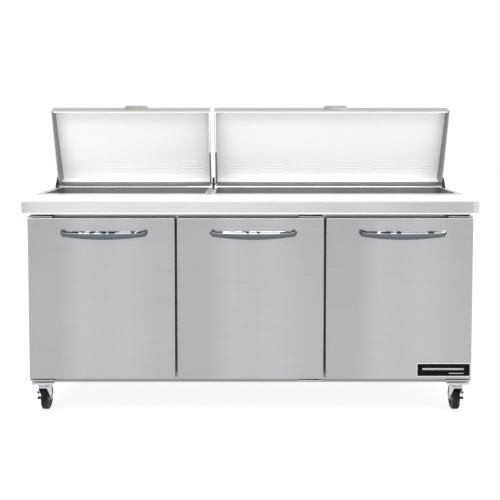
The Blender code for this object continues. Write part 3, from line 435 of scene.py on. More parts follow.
@dataclass(frozen=True)
class Chrome(Finish):
    """Bright plating with a painted reflection in its base colour: a dark horizon and a pale sky wherever it
    curves.
    """

    # Painted reflection: the sky, horizon and dark colours stand for reflected surroundings.
    sky: Colour = (0.92, 0.93, 0.94)
    band: Colour = (0.180, 0.208, 0.238)
    dark: Colour = (0.010, 0.011, 0.018)
    roughness: float = 0.09
    broken: float = 0.0

    def mix(self) -> bpy.types.Material:
        """Painted reflection: tone by how far the surface faces up, with broken dark patches on the upper
        side.
        """
        recipe = Recipe(self.name)
        facing = recipe.node("ShaderNodeNewGeometry").outputs["Normal"]
        up = recipe.along(facing, Axis.Z)
        stops = [
            (0.08, tuple(0.9 * part + 0.06 for part in self.band)),
            (0.30, tuple(0.8 * part for part in self.band)),
            (0.42, tuple(0.55 * part for part in self.band)),
            (0.50, self.band),
            (0.62, tuple(1.35 * part for part in self.band)),
            (0.76, self.sky),
        ]
        colour = recipe.node("ShaderNodeValToRGB", {"stops": stops}, {"Fac": up * 0.5 + 0.5})
        colour = colour.outputs[0]
        # Painted reflection: broken dark patches of reflected surroundings on the upper side.
        patch = recipe.noise(recipe.stretch(recipe.place(), (30.0, 20.0, 20.0)), 1.0, 1.0)
        upper = up.rise(0.25, 0.45) - up.rise(0.97, 0.99)
        share = patch.rise(0.48, 0.53) * upper * self.broken
        smear = recipe.noise(recipe.place(), 30.0, 3.0)
        return recipe.surface(
            {
                "Base Color": recipe.blend(share, colour, self.dark),
                "Metallic": 1.0,
                "Roughness": self.roughness + (smear - 0.5) * 0.08,
                "Normal": recipe.bump(recipe.noise(recipe.place(), 900.0, 2.0), 0.00001),
            }
        )


@dataclass(frozen=True)
class SatinLiner(Finish):
    """Very bright, smooth stainless or enamelled sheet, a little clouded by wiping."""

    tone: Colour = (0.95, 0.95, 0.955)
    roughness: float = 0.20
    metallic: float = 1.0

    def mix(self) -> bpy.types.Material:
        """A pale sheet with faint wiping marks and a soft waviness."""
        recipe = Recipe(self.name)
        wipe = recipe.noise(recipe.stretch(recipe.place(), (3.0, 18.0, 18.0)), 1.0, 4.0)
        wave = recipe.noise(recipe.place(), 7.0, 1.0)
        return recipe.surface(
            {
                "Base Color": recipe.lit(self.tone, 0.98 + (wipe - 0.5) * 0.06),
                "Metallic": self.metallic,
                "Roughness": self.roughness + (wipe - 0.5) * 0.10,
                "Normal": recipe.bump(wave, 0.0006),
            }
        )


@dataclass(frozen=True)
class Galvanised(Finish):
    """Zinc-coated sheet with its spangle."""

    tone: Colour = (0.50, 0.52, 0.54)
    spangles: float = 70.0

    def mix(self) -> bpy.types.Material:
        """A tone for each zinc crystal, with white bloom and a rolled texture."""
        recipe = Recipe(self.name)
        where = recipe.place()
        crystal = recipe.cells(where, self.spangles, "Color")
        bloom = recipe.noise(where, 9.0, 4.0)
        light = 0.84 + crystal * 0.22 + (bloom - 0.5) * 0.25
        return recipe.surface(
            {
                "Base Color": recipe.lit(self.tone, light),
                "Metallic": 0.95,
                "Roughness": 0.38 + crystal * 0.18,
                "Normal": recipe.bump(recipe.noise(where, 420.0, 2.0), 0.00006),
            }
        )


@dataclass(frozen=True)
class StuccoAluminium(Finish):
    """Embossed aluminium sheet, or plain drawn aluminium where it has no pebbles."""

    tone: Colour = (0.72, 0.73, 0.74)
    pebbles: float = 180.0
    depth: float = 0.0003

    def mix(self) -> bpy.types.Material:
        """A pebbled skin, rubbed a little brighter on its high spots."""
        recipe = Recipe(self.name)
        where = recipe.place()
        pebble = recipe.cells(where, self.pebbles, "Distance")
        stain = recipe.noise(where, 5.0, 4.0)
        return recipe.surface(
            {
                "Base Color": recipe.lit(self.tone, 1.02 - pebble * 0.16 + (stain - 0.5) * 0.10),
                "Metallic": 1.0,
                "Roughness": 0.34 + stain * 0.14,
                "Normal": recipe.bump(1.0 - pebble, self.depth),
            }
        )


@dataclass(frozen=True)
class Polyethylene(Finish):
    """A white food-grade board, pebbled and lightly scored by knives."""

    tone: Colour = (0.90, 0.895, 0.86)
    scored: Colour = (0.80, 0.79, 0.74)

    def mix(self) -> bpy.types.Material:
        """A fine pebble with long thin cuts that cross it at a slant."""
        recipe = Recipe(self.name)
        where = recipe.place()
        pebble = recipe.noise(where, 950.0, 2.0)
        cloud = recipe.noise(where, 6.0, 4.0)
        cuts = recipe.noise(recipe.stretch(where, (520.0, 14.0, 30.0)), 1.0, 2.0)
        cut = cuts.rise(0.70, 0.74) * cloud.rise(0.45, 0.60)
        return recipe.surface(
            {
                "Base Color": recipe.blend(cut * 0.6, self.tone, self.scored),
                "Roughness": 0.46 + (cloud - 0.5) * 0.14 + cut * 0.12,
                "Normal": recipe.bump(pebble - cut * 0.8, 0.00010),
                "Specular IOR Level": 0.42,
            }
        )


@dataclass(frozen=True)
class Moulded(Finish):
    """Rubber, plastic or enamel: one body colour with a skin and dust worn into it."""

    tone: Colour = (0.02, 0.02, 0.02)
    dust: Colour = (0.20, 0.19, 0.17)
    dusty: float = 0.25
    roughness: float = 0.55
    pebbles: float = 700.0
    depth: float = 0.00008
    coat: float = 0.0
    shine: float = 0.5

    def mix(self) -> bpy.types.Material:
        """A moulded skin, with dust where noise gathers it."""
        recipe = Recipe(self.name)
        where = recipe.place()
        skin = recipe.noise(where, self.pebbles, 3.0)
        wear = recipe.noise(where, 24.0, 5.0)
        dust = wear.rise(0.42, 0.72) * self.dusty
        return recipe.surface(
            {
                "Base Color": recipe.blend(dust, self.tone, self.dust),
                "Roughness": self.roughness + dust * 0.3 + (skin - 0.5) * 0.10,
                "Normal": recipe.bump(skin, self.depth),
                "Coat Weight": self.coat,
                "Specular IOR Level": self.shine,
                "Coat Roughness": 0.08,
            }
        )


@dataclass(frozen=True)
class StudioFloor(Finish):
    """A seamless pale floor."""

    tone: Colour = (0.24, 0.24, 0.24)
    glow: float = 0.80

    def mix(self) -> bpy.types.Material:
        """A matt translucent sheet, lit partly from beneath, with the faintest unevenness."""
        recipe = Recipe(self.name)
        cloud = recipe.noise(recipe.place(), 0.7, 2.0)
        return recipe.surface(
            {
                "Base Color": recipe.lit(self.tone, 0.995 + cloud * 0.01),
                "Roughness": 0.75,
                "Specular IOR Level": 0.2,
                "Emission Color": (1.0, 1.0, 1.0, 1.0),
                "Emission Strength": self.glow,
            }
        )


# ------------------------------------------------------------------ mesh tools
def spread(low: float, high: float, count: int) -> list[float]:
    """Evenly spaced numbers with both ends among them."""
    return [low + (high - low) * step / (count - 1) for step in range(count)]


def mirrored(side: Sequence[tuple[float, float]]) -> list[tuple[float, float]]:
    """A lathe profile from one side to the middle, and its mirror image from there on."""
    return [*side, *((-along, out) for along, out in reversed(side))]


def rounded(low: tuple[float, float], high: tuple[float, float], radius: float, steps: int = 5) -> Outline:
    """A rectangle with rounded corners.

    Args:
        low: Its lowest corner.
        high: Its highest corner.
        radius: The corners' radius.
        steps: How many edges there are to a corner.

    Returns:
        Its points, anticlockwise.
    """
    (left, bottom), (right, top) = low, high
    centres = (
        (right - radius, top - radius),
        (left + radius, top - radius),
        (left + radius, bottom + radius),
        (right - radius, bottom + radius),
    )
    points = []
    for quarter, (across, up) in enumerate(centres):
        for step in range(steps + 1):
            turn = math.radians(90.0 * (quarter + step / steps))
            points.append((across + radius * math.cos(turn), up + radius * math.sin(turn)))
    return points


def upright(axis: Axis, along: float, pair: tuple[float, float]) -> Vector:
    """A point from its place along an axis and its two other coordinates, in order."""
    rest = list(pair)
    return Vector([along if index == axis.value else rest.pop(0) for index in range(3)])


class Mould:
    """Closed solids gathered into one mesh, with world coordinates in metres."""

    def __init__(self) -> None:
        """Start with nothing in it."""
        self.mesh = bmesh.new()

    def skin(self, rings: Sequence[Sequence[Point]], looped: bool = False) -> Mould:
        """A solid through a row of rings.

        Args:
            rings: Rings with the same number of points each.
            looped: Join the last ring to the first, in place of capping both.

        Returns:
            The mould.
        """
        rows = [[self.mesh.verts.new(point) for point in ring] for ring in rings]
        pairs = list(zip(rows, rows[1:]))
        if looped:
            pairs.append((rows[-1], rows[0]))
        for first, second in pairs:
            for step in range(len(first)):
                after = (step + 1) % len(first)
                self.mesh.faces.new((first[step], first[after], second[after], second[step]))
        if not looped:
            self.mesh.faces.new(list(reversed(rows[0])))
            self.mesh.faces.new(rows[-1])
        return self

    def prism(self, outline: Outline, axis: Axis, low: float, high: float) -> Mould:
        """An outline drawn out along an axis.

        Args:
            outline: Its points, by the two other coordinates in order.
            axis: The way that it is drawn.
            low: Where it starts.
            high: Where it ends.

        Returns:
            The mould.
        """
        return self.skin([[upright(axis, place, pair) for pair in outline] for place in (low, high)])

    def block(self, low: Point, high: Point, radius: float = 0.002, steps: int = 2) -> Mould:
        """A box with its edges rounded.

        Args:
            low: Its lowest corner.
            high: Its highest corner.
            radius: The radius of its edges.
            steps: How many faces there are round an edge.

        Returns:
            The mould.
        """
        size = [above - below for below, above in zip(low, high)]
        middle = [(above + below) / 2 for below, above in zip(low, high)]
        where = Matrix.Translation(middle) @ Matrix.Diagonal((*size, 1.0))
        made = bmesh.ops.create_cube(self.mesh, size=1.0, matrix=where)
        edges = list({edge for corner in made["verts"] for edge in corner.link_edges})
        bmesh.ops.bevel(
            self.mesh,
            geom=edges,
            offset=min(radius, 0.45 * min(size)),
            offset_type="OFFSET",
            segments=steps,
            profile=0.5,
            affect="EDGES",
        )
        return self

    def lathe(self, profile: Outline, middle: Point, axis: Axis, sides: int = 40) -> Mould:
        """A profile turned round an axis.

        Args:
            profile: Points as a distance along the axis and a radius, from end to end.
            middle: A point on the axis, which the distances count from.
            axis: The axis.
            sides: How many sides the round has.

        Returns:
            The mould.
        """
        rings = []
        for along, radius in profile:
            ring = []
            for step in range(sides):
                turn = math.tau * step / sides
                pair = (max(radius, 0.0002) * math.cos(turn), max(radius, 0.0002) * math.sin(turn))
                ring.append(Vector(middle) + upright(axis, along, pair))
            rings.append(ring)
        return self.skin(rings)

    def tube(self, path: Sequence[Point], radius: float, sides: int = 10, looped: bool = False) -> Mould:
        """A round wire along a path.

        Args:
            path: The points that its middle follows.
            radius: Its radius.
            sides: How many sides it has.
            looped: Whether the path closes on itself.

        Returns:
            The mould.
        """
        points = [Vector(point) for point in path]
        rings = []
        side = None
        for index, point in enumerate(points):
            before = points[index - 1] if index or looped else point
            after = points[(index + 1) % len(points)] if index + 1 < len(points) or looped else point
            ahead = (after - before).normalized()
            if side is None:
                side = ahead.orthogonal()
            side = (side - ahead * side.dot(ahead)).normalized()
            other = ahead.cross(side)
            rings.append(
                [
                    point + (side * math.cos(turn) + other * math.sin(turn)) * radius
                    for turn in (math.tau * step / sides for step in range(sides))
                ]
            )
        return self.skin(rings, looped)

    def bolt(self, head: Point, axis: Axis, out: float, radius: float = 0.004, sides: int = 20) -> Mould:
        """A low domed screw head with a recess ring.

        Args:
            head: Where it sits on its surface.
            axis: The axis that it points along.
            out: 1 if it stands up the axis, or -1 if down.
            radius: The head's radius.
            sides: How many sides it has.

        Returns:
            The mould.
        """
        profile = (
            (0.0, 1.0), (0.12, 1.0), (0.34, 0.86), (0.48, 0.55), (0.46, 0.36), (0.22, 0.26), (0.22, 0.02),
        )
        shape = [(share * radius * out, width * radius) for share, width in profile]
        return self.lathe(shape, head, axis, sides)

    def copy(self, node: str) -> Mould:
        """The shape of a node of the frame, welded, with its flat faces merged.

        Args:
            node: The node's name.

        Returns:
            The mould.
        """
        self.mesh.from_mesh(frame["nodes"][node].data)
        bmesh.ops.remove_doubles(self.mesh, verts=self.mesh.verts, dist=0.00001)
        bmesh.ops.dissolve_limit(
            self.mesh, angle_limit=0.005, verts=self.mesh.verts, edges=self.mesh.edges
        )
        return self

    def spin(self, middle: Point, axis: Axis, degrees: float) -> Mould:
        """Turn everything in the mould about an axis through a point."""
        turn = Matrix.Rotation(math.radians(degrees), 3, axis.unit())
        bmesh.ops.rotate(self.mesh, verts=self.mesh.verts, cent=Vector(middle), matrix=turn)
        return self

    def add(self, other: Mould) -> Mould:
        """Pour another mould into this one.

        Args:
            other: The mould that is emptied.

        Returns:
            The mould.
        """
        held = bpy.data.meshes.new("held")
        other.mesh.to_mesh(held)
        other.mesh.free()
        self.mesh.from_mesh(held)
        bpy.data.meshes.remove(held)
        return self

    def piece(
        self,
        name: str,
        body: str,
        finish: Finish,
        stands_for: Iterable[str] = (),
        edge: float = 0.0,
        turned: bool = True,
        second: Finish | None = None,
        where: Callable[[Vector, Vector], bool] | None = None,
    ) -> bpy.types.Object:
        """Pour the mesh out as a piece of the table.

        Args:
            name: The piece's name.
            body: The body that it rides on.
            finish: Its finish.
            stands_for: The nodes of the frame that it is shown in place of.
            edge: The radius of its sharp edges, or 0 to leave them as they are.
            turned: Whether its faces still have to be turned outward.
            second: Another finish, for some of its faces.
            where: Says from a face's middle and normal whether it takes the second finish.

        Returns:
            The piece.
        """
        if turned:
            bmesh.ops.recalc_face_normals(self.mesh, faces=self.mesh.faces)
        data = bpy.data.meshes.new(name)
        self.mesh.to_mesh(data)
        self.mesh.free()
        made = bpy.data.objects.new(name, data)
        bpy.context.scene.collection.objects.link(made)
        data.materials.append(finish.material())
        if second is not None:
            data.materials.append(second.material())
        for face in data.polygons:
            face.use_smooth = True
            if second is not None and where(face.center, face.normal):
                face.material_index = 1
        data.set_sharp_from_angle(angle=math.radians(38.0))
        if edge:
            bevel = made.modifiers.new("edges", "BEVEL")
            bevel.width = edge
            bevel.segments = 2
            bevel.limit_method = "ANGLE"
            bevel.angle_limit = math.radians(38.0)
            bevel.harden_normals = True
        if stands_for:
            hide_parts(*stands_for)
        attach(made, body)
        LOG.info("%s: %d faces, rides on %s", name, len(data.polygons), body)
        return made


def owner(node: str) -> str:
    """The body that a node of the frame belongs to."""
    return body_of(frame["nodes"][node])[0]


def redress(
    node: str,
    finish: Finish,
    edge: float = 0.0004,
    second: Finish | None = None,
    where: Callable[[Vector, Vector], bool] | None = None,
) -> bpy.types.Object:
    """Show a node of the frame as a welded copy with soft edges.

    Args:
        node: The node that the copy stands for.
        finish: The copy's finish.
        edge: The radius of its edges.
        second: Another finish, for some of its faces.
        where: Says from a face's middle and normal whether it takes the second finish.

    Returns:
        The copy.
    """
    mould = Mould().copy(node)
    name, body = f"{node}_sheet", owner(node)
    return mould.piece(name, body, finish, (node,), edge, turned=False, second=second, where=where)


def middle_of(node: str) -> Vector:
    """The middle of a node's box."""
    low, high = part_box(node)
    return (low + high) / 2


# ------------------------------------------------------------------ this table's finishes
DOOR_PIN_Y = -0.343
HALF_LENGTH = 0.9144
HOOD_PIVOT = (0.199, 0.914)
# Painted reflection: light and dark tints along each door, laid into its base colour.
DOOR_REFLECTION_BANDS = (
    (0.02, 0.850), (0.20, 0.860), (0.27, 0.915), (0.37, 1.00), (0.45, 0.975), (0.52, 0.965),
    (0.66, 1.00), (0.75, 0.965), (0.87, 0.905), (0.98, 0.895),
)
# Painted reflection: light and dark tints along the worktop's nose, laid into its base colour, with a cream
# tint at the left end and a lighter strip at the right end.
NOSE_REFLECTION_BANDS = (
    (0.0, (0.80, 0.745, 0.70)), (0.035, (0.95, 0.935, 0.925)), (0.14, 1.00), (0.32, 0.98),
    (0.50, 0.93), (0.62, 0.86), (0.70, 0.80), (0.76, 0.845), (0.88, 0.72), (0.955, 0.69),
    (0.985, 0.72), (0.99, 0.93),
)
STEEL = BrushedSteel("brushed_steel", "brushed", (0.505, 0.505, 0.51))
STEEL_UPRIGHT = BrushedSteel("brushed_steel_upright", "brushed", (0.57, 0.57, 0.575), grain=Axis.Z)
# The worktop's steel carries the painted reflection bands along its nose.
STEEL_WORKTOP = BrushedSteel(
    "brushed_steel_worktop", "brushed", (0.715, 0.715, 0.715), 0.28, contrast=0.10, bands=NOSE_REFLECTION_BANDS,
    span=(-HALF_LENGTH, HALF_LENGTH),
)
STEEL_HOOD = BrushedSteel("brushed_steel_hood", "brushed", (0.49, 0.49, 0.46), 0.34, contrast=0.12)
# Painted shade: a dark copy of the hood steel for the hoods' end walls and outer flanges.
STEEL_PAINTED_SHADE = BrushedSteel("hood_painted_shade_steel", "brushed", (0.27, 0.262, 0.245), 0.34, contrast=0.30)
# Painted shade: a dark copy of the steel for the collars inside the rail's openings and for the hoods' dark
# trim.
STEEL_COLLAR_SHADE = BrushedSteel("rail_collar_painted_shade_steel", "brushed", (0.28, 0.276, 0.266), 0.38, contrast=0.20)
STEEL_STRAP = BrushedSteel("hood_strap_steel", "brushed", (0.10, 0.098, 0.094), 0.42, contrast=0.20)
# Dull steel for the pan well, and painted shadow as the dark rail under the doors.
STEEL_DULL_AND_SHADOW = BrushedSteel("rolled_steel_and_painted_shadow", "brushed", (0.30, 0.295, 0.285), 0.42, contrast=0.20)
# Very bright steel: the nameplate's own bright border, and painted highlight on the nose's front hem, the
# doors' top folds and the rails' rims.
STEEL_BRIGHT_AND_HIGHLIGHT = BrushedSteel("bright_steel_and_painted_highlight", "brushed", (0.92, 0.92, 0.91), 0.26, contrast=0.06)
STEEL_BRACKET = BrushedSteel("bracket_steel", "brushed", (0.50, 0.50, 0.50), 0.24, contrast=0.22)
STEEL_SHADED = BrushedSteel("brushed_steel_shaded", "brushed", (0.56, 0.555, 0.54), 0.34)
LINER = SatinLiner("hood_liner_steel", "satin", (0.955, 0.955, 0.96), 0.30, 0.0)
PAN_STEEL = SatinLiner("pan_steel", "satin", (0.84, 0.845, 0.855), 0.22, 0.50)
ZINC = Galvanised("galvanised_sheet", "galvanised")
ZINC_PALE = Galvanised("galvanised_frame", "galvanised", (0.62, 0.62, 0.63), 55.0)
CHROME = Chrome("bright_chrome", "chrome", broken=0.92)
CHROME_PLAIN = Chrome(
    "chrome_wire", "chrome", (0.80, 0.81, 0.83), (0.46, 0.48, 0.51), (0.20, 0.21, 0.23), 0.16,
)
CHROME_FORK = Chrome(
    "zinc_plated_fork", "chrome", (0.86, 0.88, 0.90), (0.55, 0.60, 0.63), (0.16, 0.19, 0.26), 0.22,
)
STUCCO_PLAIN = StuccoAluminium("door_liner_aluminium", "aluminium", (0.74, 0.745, 0.75), 150.0, 0.0002)
STUCCO = StuccoAluminium("stucco_aluminium", "aluminium")
FIN_STOCK = StuccoAluminium("fin_aluminium", "aluminium", (0.60, 0.61, 0.62), 420.0, 0.0001)
TUBE_STOCK = StuccoAluminium("tube_aluminium", "aluminium", (0.66, 0.62, 0.56), 300.0, 0.0001)
BOARD = Polyethylene("cutting_board_polyethylene", "board")
TYRE = Moulded("tyre_rubber", "rubber", (0.005, 0.005, 0.005), (0.10, 0.10, 0.085), 0.26, 0.55, shine=0.16)
GASKET = Moulded("gasket_rubber", "gasket", (0.10, 0.10, 0.105), (0.28, 0.27, 0.25), 0.22, 0.50)
PLASTIC = Moulded(
    "black_plastic", "plastic", (0.012, 0.012, 0.014), (0.20, 0.19, 0.18), 0.12, 0.42, shine=0.25,
)
PLASTIC_GREY = Moulded("grey_plastic", "plastic", (0.22, 0.225, 0.235), (0.34, 0.33, 0.31), 0.20, 0.45)
PLASTIC_WHITE = Moulded("white_plastic", "plastic", (0.74, 0.74, 0.72), (0.50, 0.48, 0.44), 0.20, 0.40)
ENAMEL = Moulded(
    "black_enamel", "enamel", (0.014, 0.014, 0.015), (0.16, 0.155, 0.15), 0.16, 0.33, 260.0, 0.00003, 0.5,
)
PLATE = Moulded(
    "nameplate_enamel", "enamel", (0.002, 0.002, 0.002), (0.03, 0.03, 0.03),
    0.10, 0.30, 260.0, 0.00002, 0.0, 0.08,
)
PLATE_MARK = Moulded(
    "nameplate_mark", "enamel", (0.42, 0.42, 0.41), (0.30, 0.30, 0.30), 0.10, 0.35, 260.0, 0.00002,
)
ENAMEL_GREY = Moulded(
    "grey_enamel", "enamel", (0.33, 0.33, 0.335), (0.24, 0.23, 0.22), 0.30, 0.42, 200.0, 0.00005, 0.2,
)
FOAM = Moulded("insulation_foam", "foam", (0.70, 0.60, 0.36), (0.50, 0.38, 0.20), 0.40, 0.85, 420.0, 0.0008)
FLOOR = StudioFloor("studio_floor", "board")


# ------------------------------------------------------------------ worktop, board and pans
@dataclass
class Worktop:
    """The folded worktop with its rolled hem, end caps and raised rail."""

    hem_radius: float = 0.0032
    hem_out: float = 0.0012
    seam_drop: float = 0.0022
    edge: float = 0.0012

    def build(self) -> None:
        """Dress the sheet, with painted shade on its collars, then roll its hem and lay the rail's rim; the
        front hem and the rim take a brighter steel as painted highlight.
        """
        low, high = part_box("worktop")
        mouth_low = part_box("pan_row_left_front")[0]
        mouth_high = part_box("pan_row_right_back")[1]

        def on_collar(middle: Vector, normal: Vector) -> bool:
            """Whether a face is one of the collars turned down round the openings, which take painted shade.
            """
            inside = all(
                mouth_low[axis] - 0.006 < middle[axis] < mouth_high[axis] + 0.006 for axis in (0, 1)
            )
            return inside and abs(normal.z) < 0.5

        # Painted shade: the collars under the hoods take the dark steel.
        redress("worktop", STEEL_WORKTOP, self.edge, STEEL_COLLAR_SHADE, on_collar)
        board_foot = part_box("cutting_board")[0].z
        inset = 0.003
        for name, z in (("front", low.z + self.hem_radius), ("top", board_foot - self.seam_drop)):
            radius = self.hem_radius if name == "front" else 0.0011
            y = low.y + radius - self.hem_out * (0.6 if name == "front" else 0.3)
            path = [(x, y, z) for x in spread(low.x + inset, high.x - inset, 9)]
            # Painted highlight: the front hem's bright steel paints a light line along the nose's lower edge.
            finish = STEEL_BRIGHT_AND_HIGHLIGHT if name == "front" else STEEL_SHADED
            Mould().tube(path, radius, 12).piece(f"nose_{name}_hem", "root", finish)
        self._rim(high.z)

    @staticmethod
    def _rim(top: float) -> None:
        """The folded rim of each opening in the rail, in a bright steel as painted highlight.

        Args:
            top: How high the worktop reaches.
        """
        for side in SIDES:
            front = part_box(f"pan_row_{side}_front")[0]
            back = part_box(f"pan_row_{side}_back")[1]
            corners = rounded((front.x, front.y - 0.0005), (back.x, back.y + 0.0005), 0.006, 4)
            path = [(x, y, top + 0.0002) for x, y in corners]
            rim = Mould().tube(path, 0.0012, 8, looped=True)
            rim.piece(f"rail_rim_{side}", "root", STEEL_BRIGHT_AND_HIGHLIGHT)


@dataclass
class CuttingBoard:
    """The full-width board, with eased edges."""

    ease: float = 0.0028

    def build(self) -> None:
        """One drawn block in place of the plain one."""
        low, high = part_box("cutting_board")
        mould = Mould().block(low, high, self.ease, 4)
        mould.piece("cutting_board_slab", owner("cutting_board"), BOARD, ("cutting_board",))


@dataclass
class PanRow:
    """One row of drawn one-sixth pans with rolled rims and round corners."""

    side: str
    row: str
    columns: int
    sheet: float = 0.0012
    rim: float = 0.009
    corner: float = 0.022
    draft: float = 0.006
    foot: float = 0.012

    def build(self) -> None:
        """Every pan of the row, as one piece."""
        node = f"pan_row_{self.side}_{self.row}"
        low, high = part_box(node)
        pitch = (high.x - low.x) / self.columns
        mould = Mould()
        for column in range(self.columns):
            left = low.x + column * pitch
            self._pan(mould, (left + 0.0012, low.y), (left + pitch - 0.0012, high.y), low.z, high.z)
        mould.piece(f"{node}_pans", owner(node), PAN_STEEL, (node,))

    def _pan(
        self, mould: Mould, low: tuple[float, float], high: tuple[float, float], floor: float, top: float
    ) -> None:
        """One pan, skinned from the middle of its floor, over its rim and back underneath.

        Args:
            mould: The mould it goes into.
            low: The rim's lowest corner.
            high: The rim's highest corner.
            floor: The underside's height.
            top: The rim's height.
        """
        def ring(inset: float, z: float, radius: float) -> list[tuple[float, float, float]]:
            """A rounded outline, drawn in from the rim's edge."""
            outline = rounded(
                (low[0] + inset, low[1] + inset), (high[0] - inset, high[1] - inset), radius, 6
            )
            return [(x, y, z) for x, y in outline]

        rim, thick, deep = self.rim, self.sheet, floor + self.sheet
        base = rim + self.draft
        rings = [
            ring(base + 0.030, deep, 0.012),
            ring(base + self.foot, deep + 0.0004, self.corner - 0.004),
            ring(base + 0.004, deep + 0.0035, self.corner),
            ring(base, deep + self.foot, self.corner),
            ring(rim + 0.002, top - 0.006, self.corner),
            ring(rim + 0.0006, top - 0.0016, self.corner),
            ring(rim - 0.0016, top, self.corner + 0.001),
            ring(0.0014, top, 0.011),
            ring(0.0, top - 0.0010, 0.010),
            ring(0.0003, top - 0.0030, 0.010),
            ring(0.0016, top - 0.0018, 0.010),
            ring(rim - 0.0006, top - 0.0018, self.corner),
            ring(rim + 0.0006, top - 0.0062, self.corner),
            ring(base - thick, deep + self.foot, self.corner),
            ring(base + 0.0032 - thick, floor + 0.0030, self.corner),
            ring(base + self.foot, floor, self.corner - 0.004),
            ring(base + 0.030, floor, 0.012),
        ]
        mould.skin(rings)


# ------------------------------------------------------------------ hoods
@dataclass
class Hood:
    """An insulated lid: its outer shell, pale liner, dark trim that paints shade, stay and front lip."""

    side: str
    inset: float = 0.014
    bead: float = 0.0010
    rib_count: int = 6
    rib_foot: float = 0.010
    rib_pitch: float = 0.0165
    rib_radius: float = 0.0016
    flange: float = 0.024
    stay_width: float = 0.0050
    trim: float = 0.0062
    trim_lift: float = 0.0055
    heel: float = 0.42

    def build(self) -> None:
        """Dress the shell and the liner, then add what is fixed to them."""
        shell, liner = f"lid_{self.side}_shell", f"lid_{self.side}_liner"
        centre = middle_of(shell).x
        low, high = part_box(shell)
        outer = low.x if self.side == "left" else high.x

        def in_shade(middle: Vector, normal: Vector) -> bool:
            """Whether a face is in an end wall, or in the flange by the outer end: the faces that take
            painted shade.
            """
            if abs(normal.x) > 0.7:
                return (middle.x < centre) == (normal.x > 0)
            return abs(middle.x - outer) < self.flange

        # Painted shade: the hoods' end walls and outer flanges take the dark steel.
        redress(shell, STEEL_HOOD, 0.0010, STEEL_PAINTED_SHADE, in_shade)
        redress(liner, LINER, 0.0004, STEEL_PAINTED_SHADE, in_shade)
        self._ribs(liner)
        self._bead(liner)
        self._lip(shell)
        self._stay(liner)
        self._trim(liner)

    @staticmethod
    def _plane(liner: str, behind: bool = False) -> tuple[Vector, Vector, float, float, Vector]:
        """Where the liner's rim lies, or its back.

        Args:
            liner: The liner's node.
            behind: Whether to take the liner's back in place of its rim.

        Returns:
            Its lower left corner, the way up it, its width, its height and its normal.
        """
        data = frame["nodes"][liner].data
        faces = [face for face in data.polygons if face.normal.y < -0.5]
        foremost = max(faces, key=lambda face: face.center.dot(face.normal))
        chosen = max(faces, key=lambda face: face.area) if behind else foremost
        normal = chosen.normal.copy()
        reach = chosen.center.dot(normal)
        points = [
            data.vertices[index].co for face in faces
            if face.normal.dot(normal) > 0.9995 and abs(face.center.dot(normal) - reach) < 0.0005
            for index in face.vertices
        ]
        upward = Vector((0.0, normal.z, -normal.y))
        bottom = min(points, key=lambda point: point.dot(upward))
        top = max(points, key=lambda point: point.dot(upward))
        left, right = min(point.x for point in points), max(point.x for point in points)
        start = Vector((left, bottom.y, bottom.z))
        return start, upward, right - left, (top - bottom).dot(upward), normal

    def _bead(self, liner: str) -> None:
        """A thin pressed bead just inside the liner's edges.

        Args:
            liner: The liner's node.
        """
        start, upward, width, height, normal = self._plane(liner, behind=True)
        corners = rounded((self.inset, self.inset), (width - self.inset, height - self.inset), 0.010, 5)
        path = [start + Vector((u, 0, 0)) + upward * v + normal * 0.0002 for u, v in corners]
        Mould().tube(path, self.bead, 8, looped=True).piece(
            f"lid_{self.side}_bead", owner(liner), LINER
        )

    def _ribs(self, liner: str) -> None:
        """Low ribs pressed across the foot of the liner, a group over each column of pans.

        Args:
            liner: The liner's node.
        """
        start, upward, width, _, normal = self._plane(liner, behind=True)
        columns = 4 if self.side == "left" else 6
        pitch = width / columns
        ribs = Mould()
        for column in range(columns):
            for index in range(self.rib_count):
                rise = self.rib_foot + self.rib_pitch * index
                left, right = pitch * (column + 0.20), pitch * (column + 0.84)
                path = [
                    start + Vector((across, 0.0, 0.0)) + upward * rise + normal * lift
                    for across, lift in (
                        (left, -0.0012), (left + 0.006, -0.0002), (right - 0.006, -0.0002), (right, -0.0012)
                    )
                ]
                ribs.tube(path, self.rib_radius, 8)
        ribs.piece(f"lid_{self.side}_ribs", owner(liner), LINER)

    def _trim(self, liner: str) -> None:
        """Thin dark steel angles over the rim at the outer end and up the wall by the hinges: painted shade
        on faces that fall in shade.

        Args:
            liner: The liner's node.
        """
        start, upward, width, height, normal = self._plane(liner)
        back, _, back_width, _, _ = self._plane(liner, behind=True)
        side = Vector((1.0, 0.0, 0.0)) if self.side == "left" else Vector((-1.0, 0.0, 0.0))
        corner = start if self.side == "left" else start + Vector((width, 0.0, 0.0))
        angles = Mould()
        self._plate(angles, corner, side * self.trim, upward * height, normal)
        self._plate(angles, start, Vector((width, 0.0, 0.0)), upward * self.trim_lift, normal)
        foot = Vector((back.x, start.y, start.z)) + upward * self.trim_lift
        rise = (back - foot) * self.heel
        facing = Vector((0.0, -rise.z, rise.y)).normalized()
        self._plate(angles, foot, Vector((back_width, 0.0, 0.0)), rise, facing)
        angles.piece(f"lid_{self.side}_trim", owner(liner), STEEL_COLLAR_SHADE)

    @staticmethod
    def _plate(mould: Mould, corner: Vector, across: Vector, along: Vector, normal: Vector) -> None:
        """Add a thin flat plate.

        Args:
            mould: The mould that it is added to.
            corner: One of its corners.
            across: From there to the next corner.
            along: From there to the corner on its other side.
            normal: The way that it faces.
        """
        flat = [corner, corner + across, corner + across + along, corner + along]
        mould.skin([[point + normal * lift for point in flat] for lift in (0.0, 0.0006)])

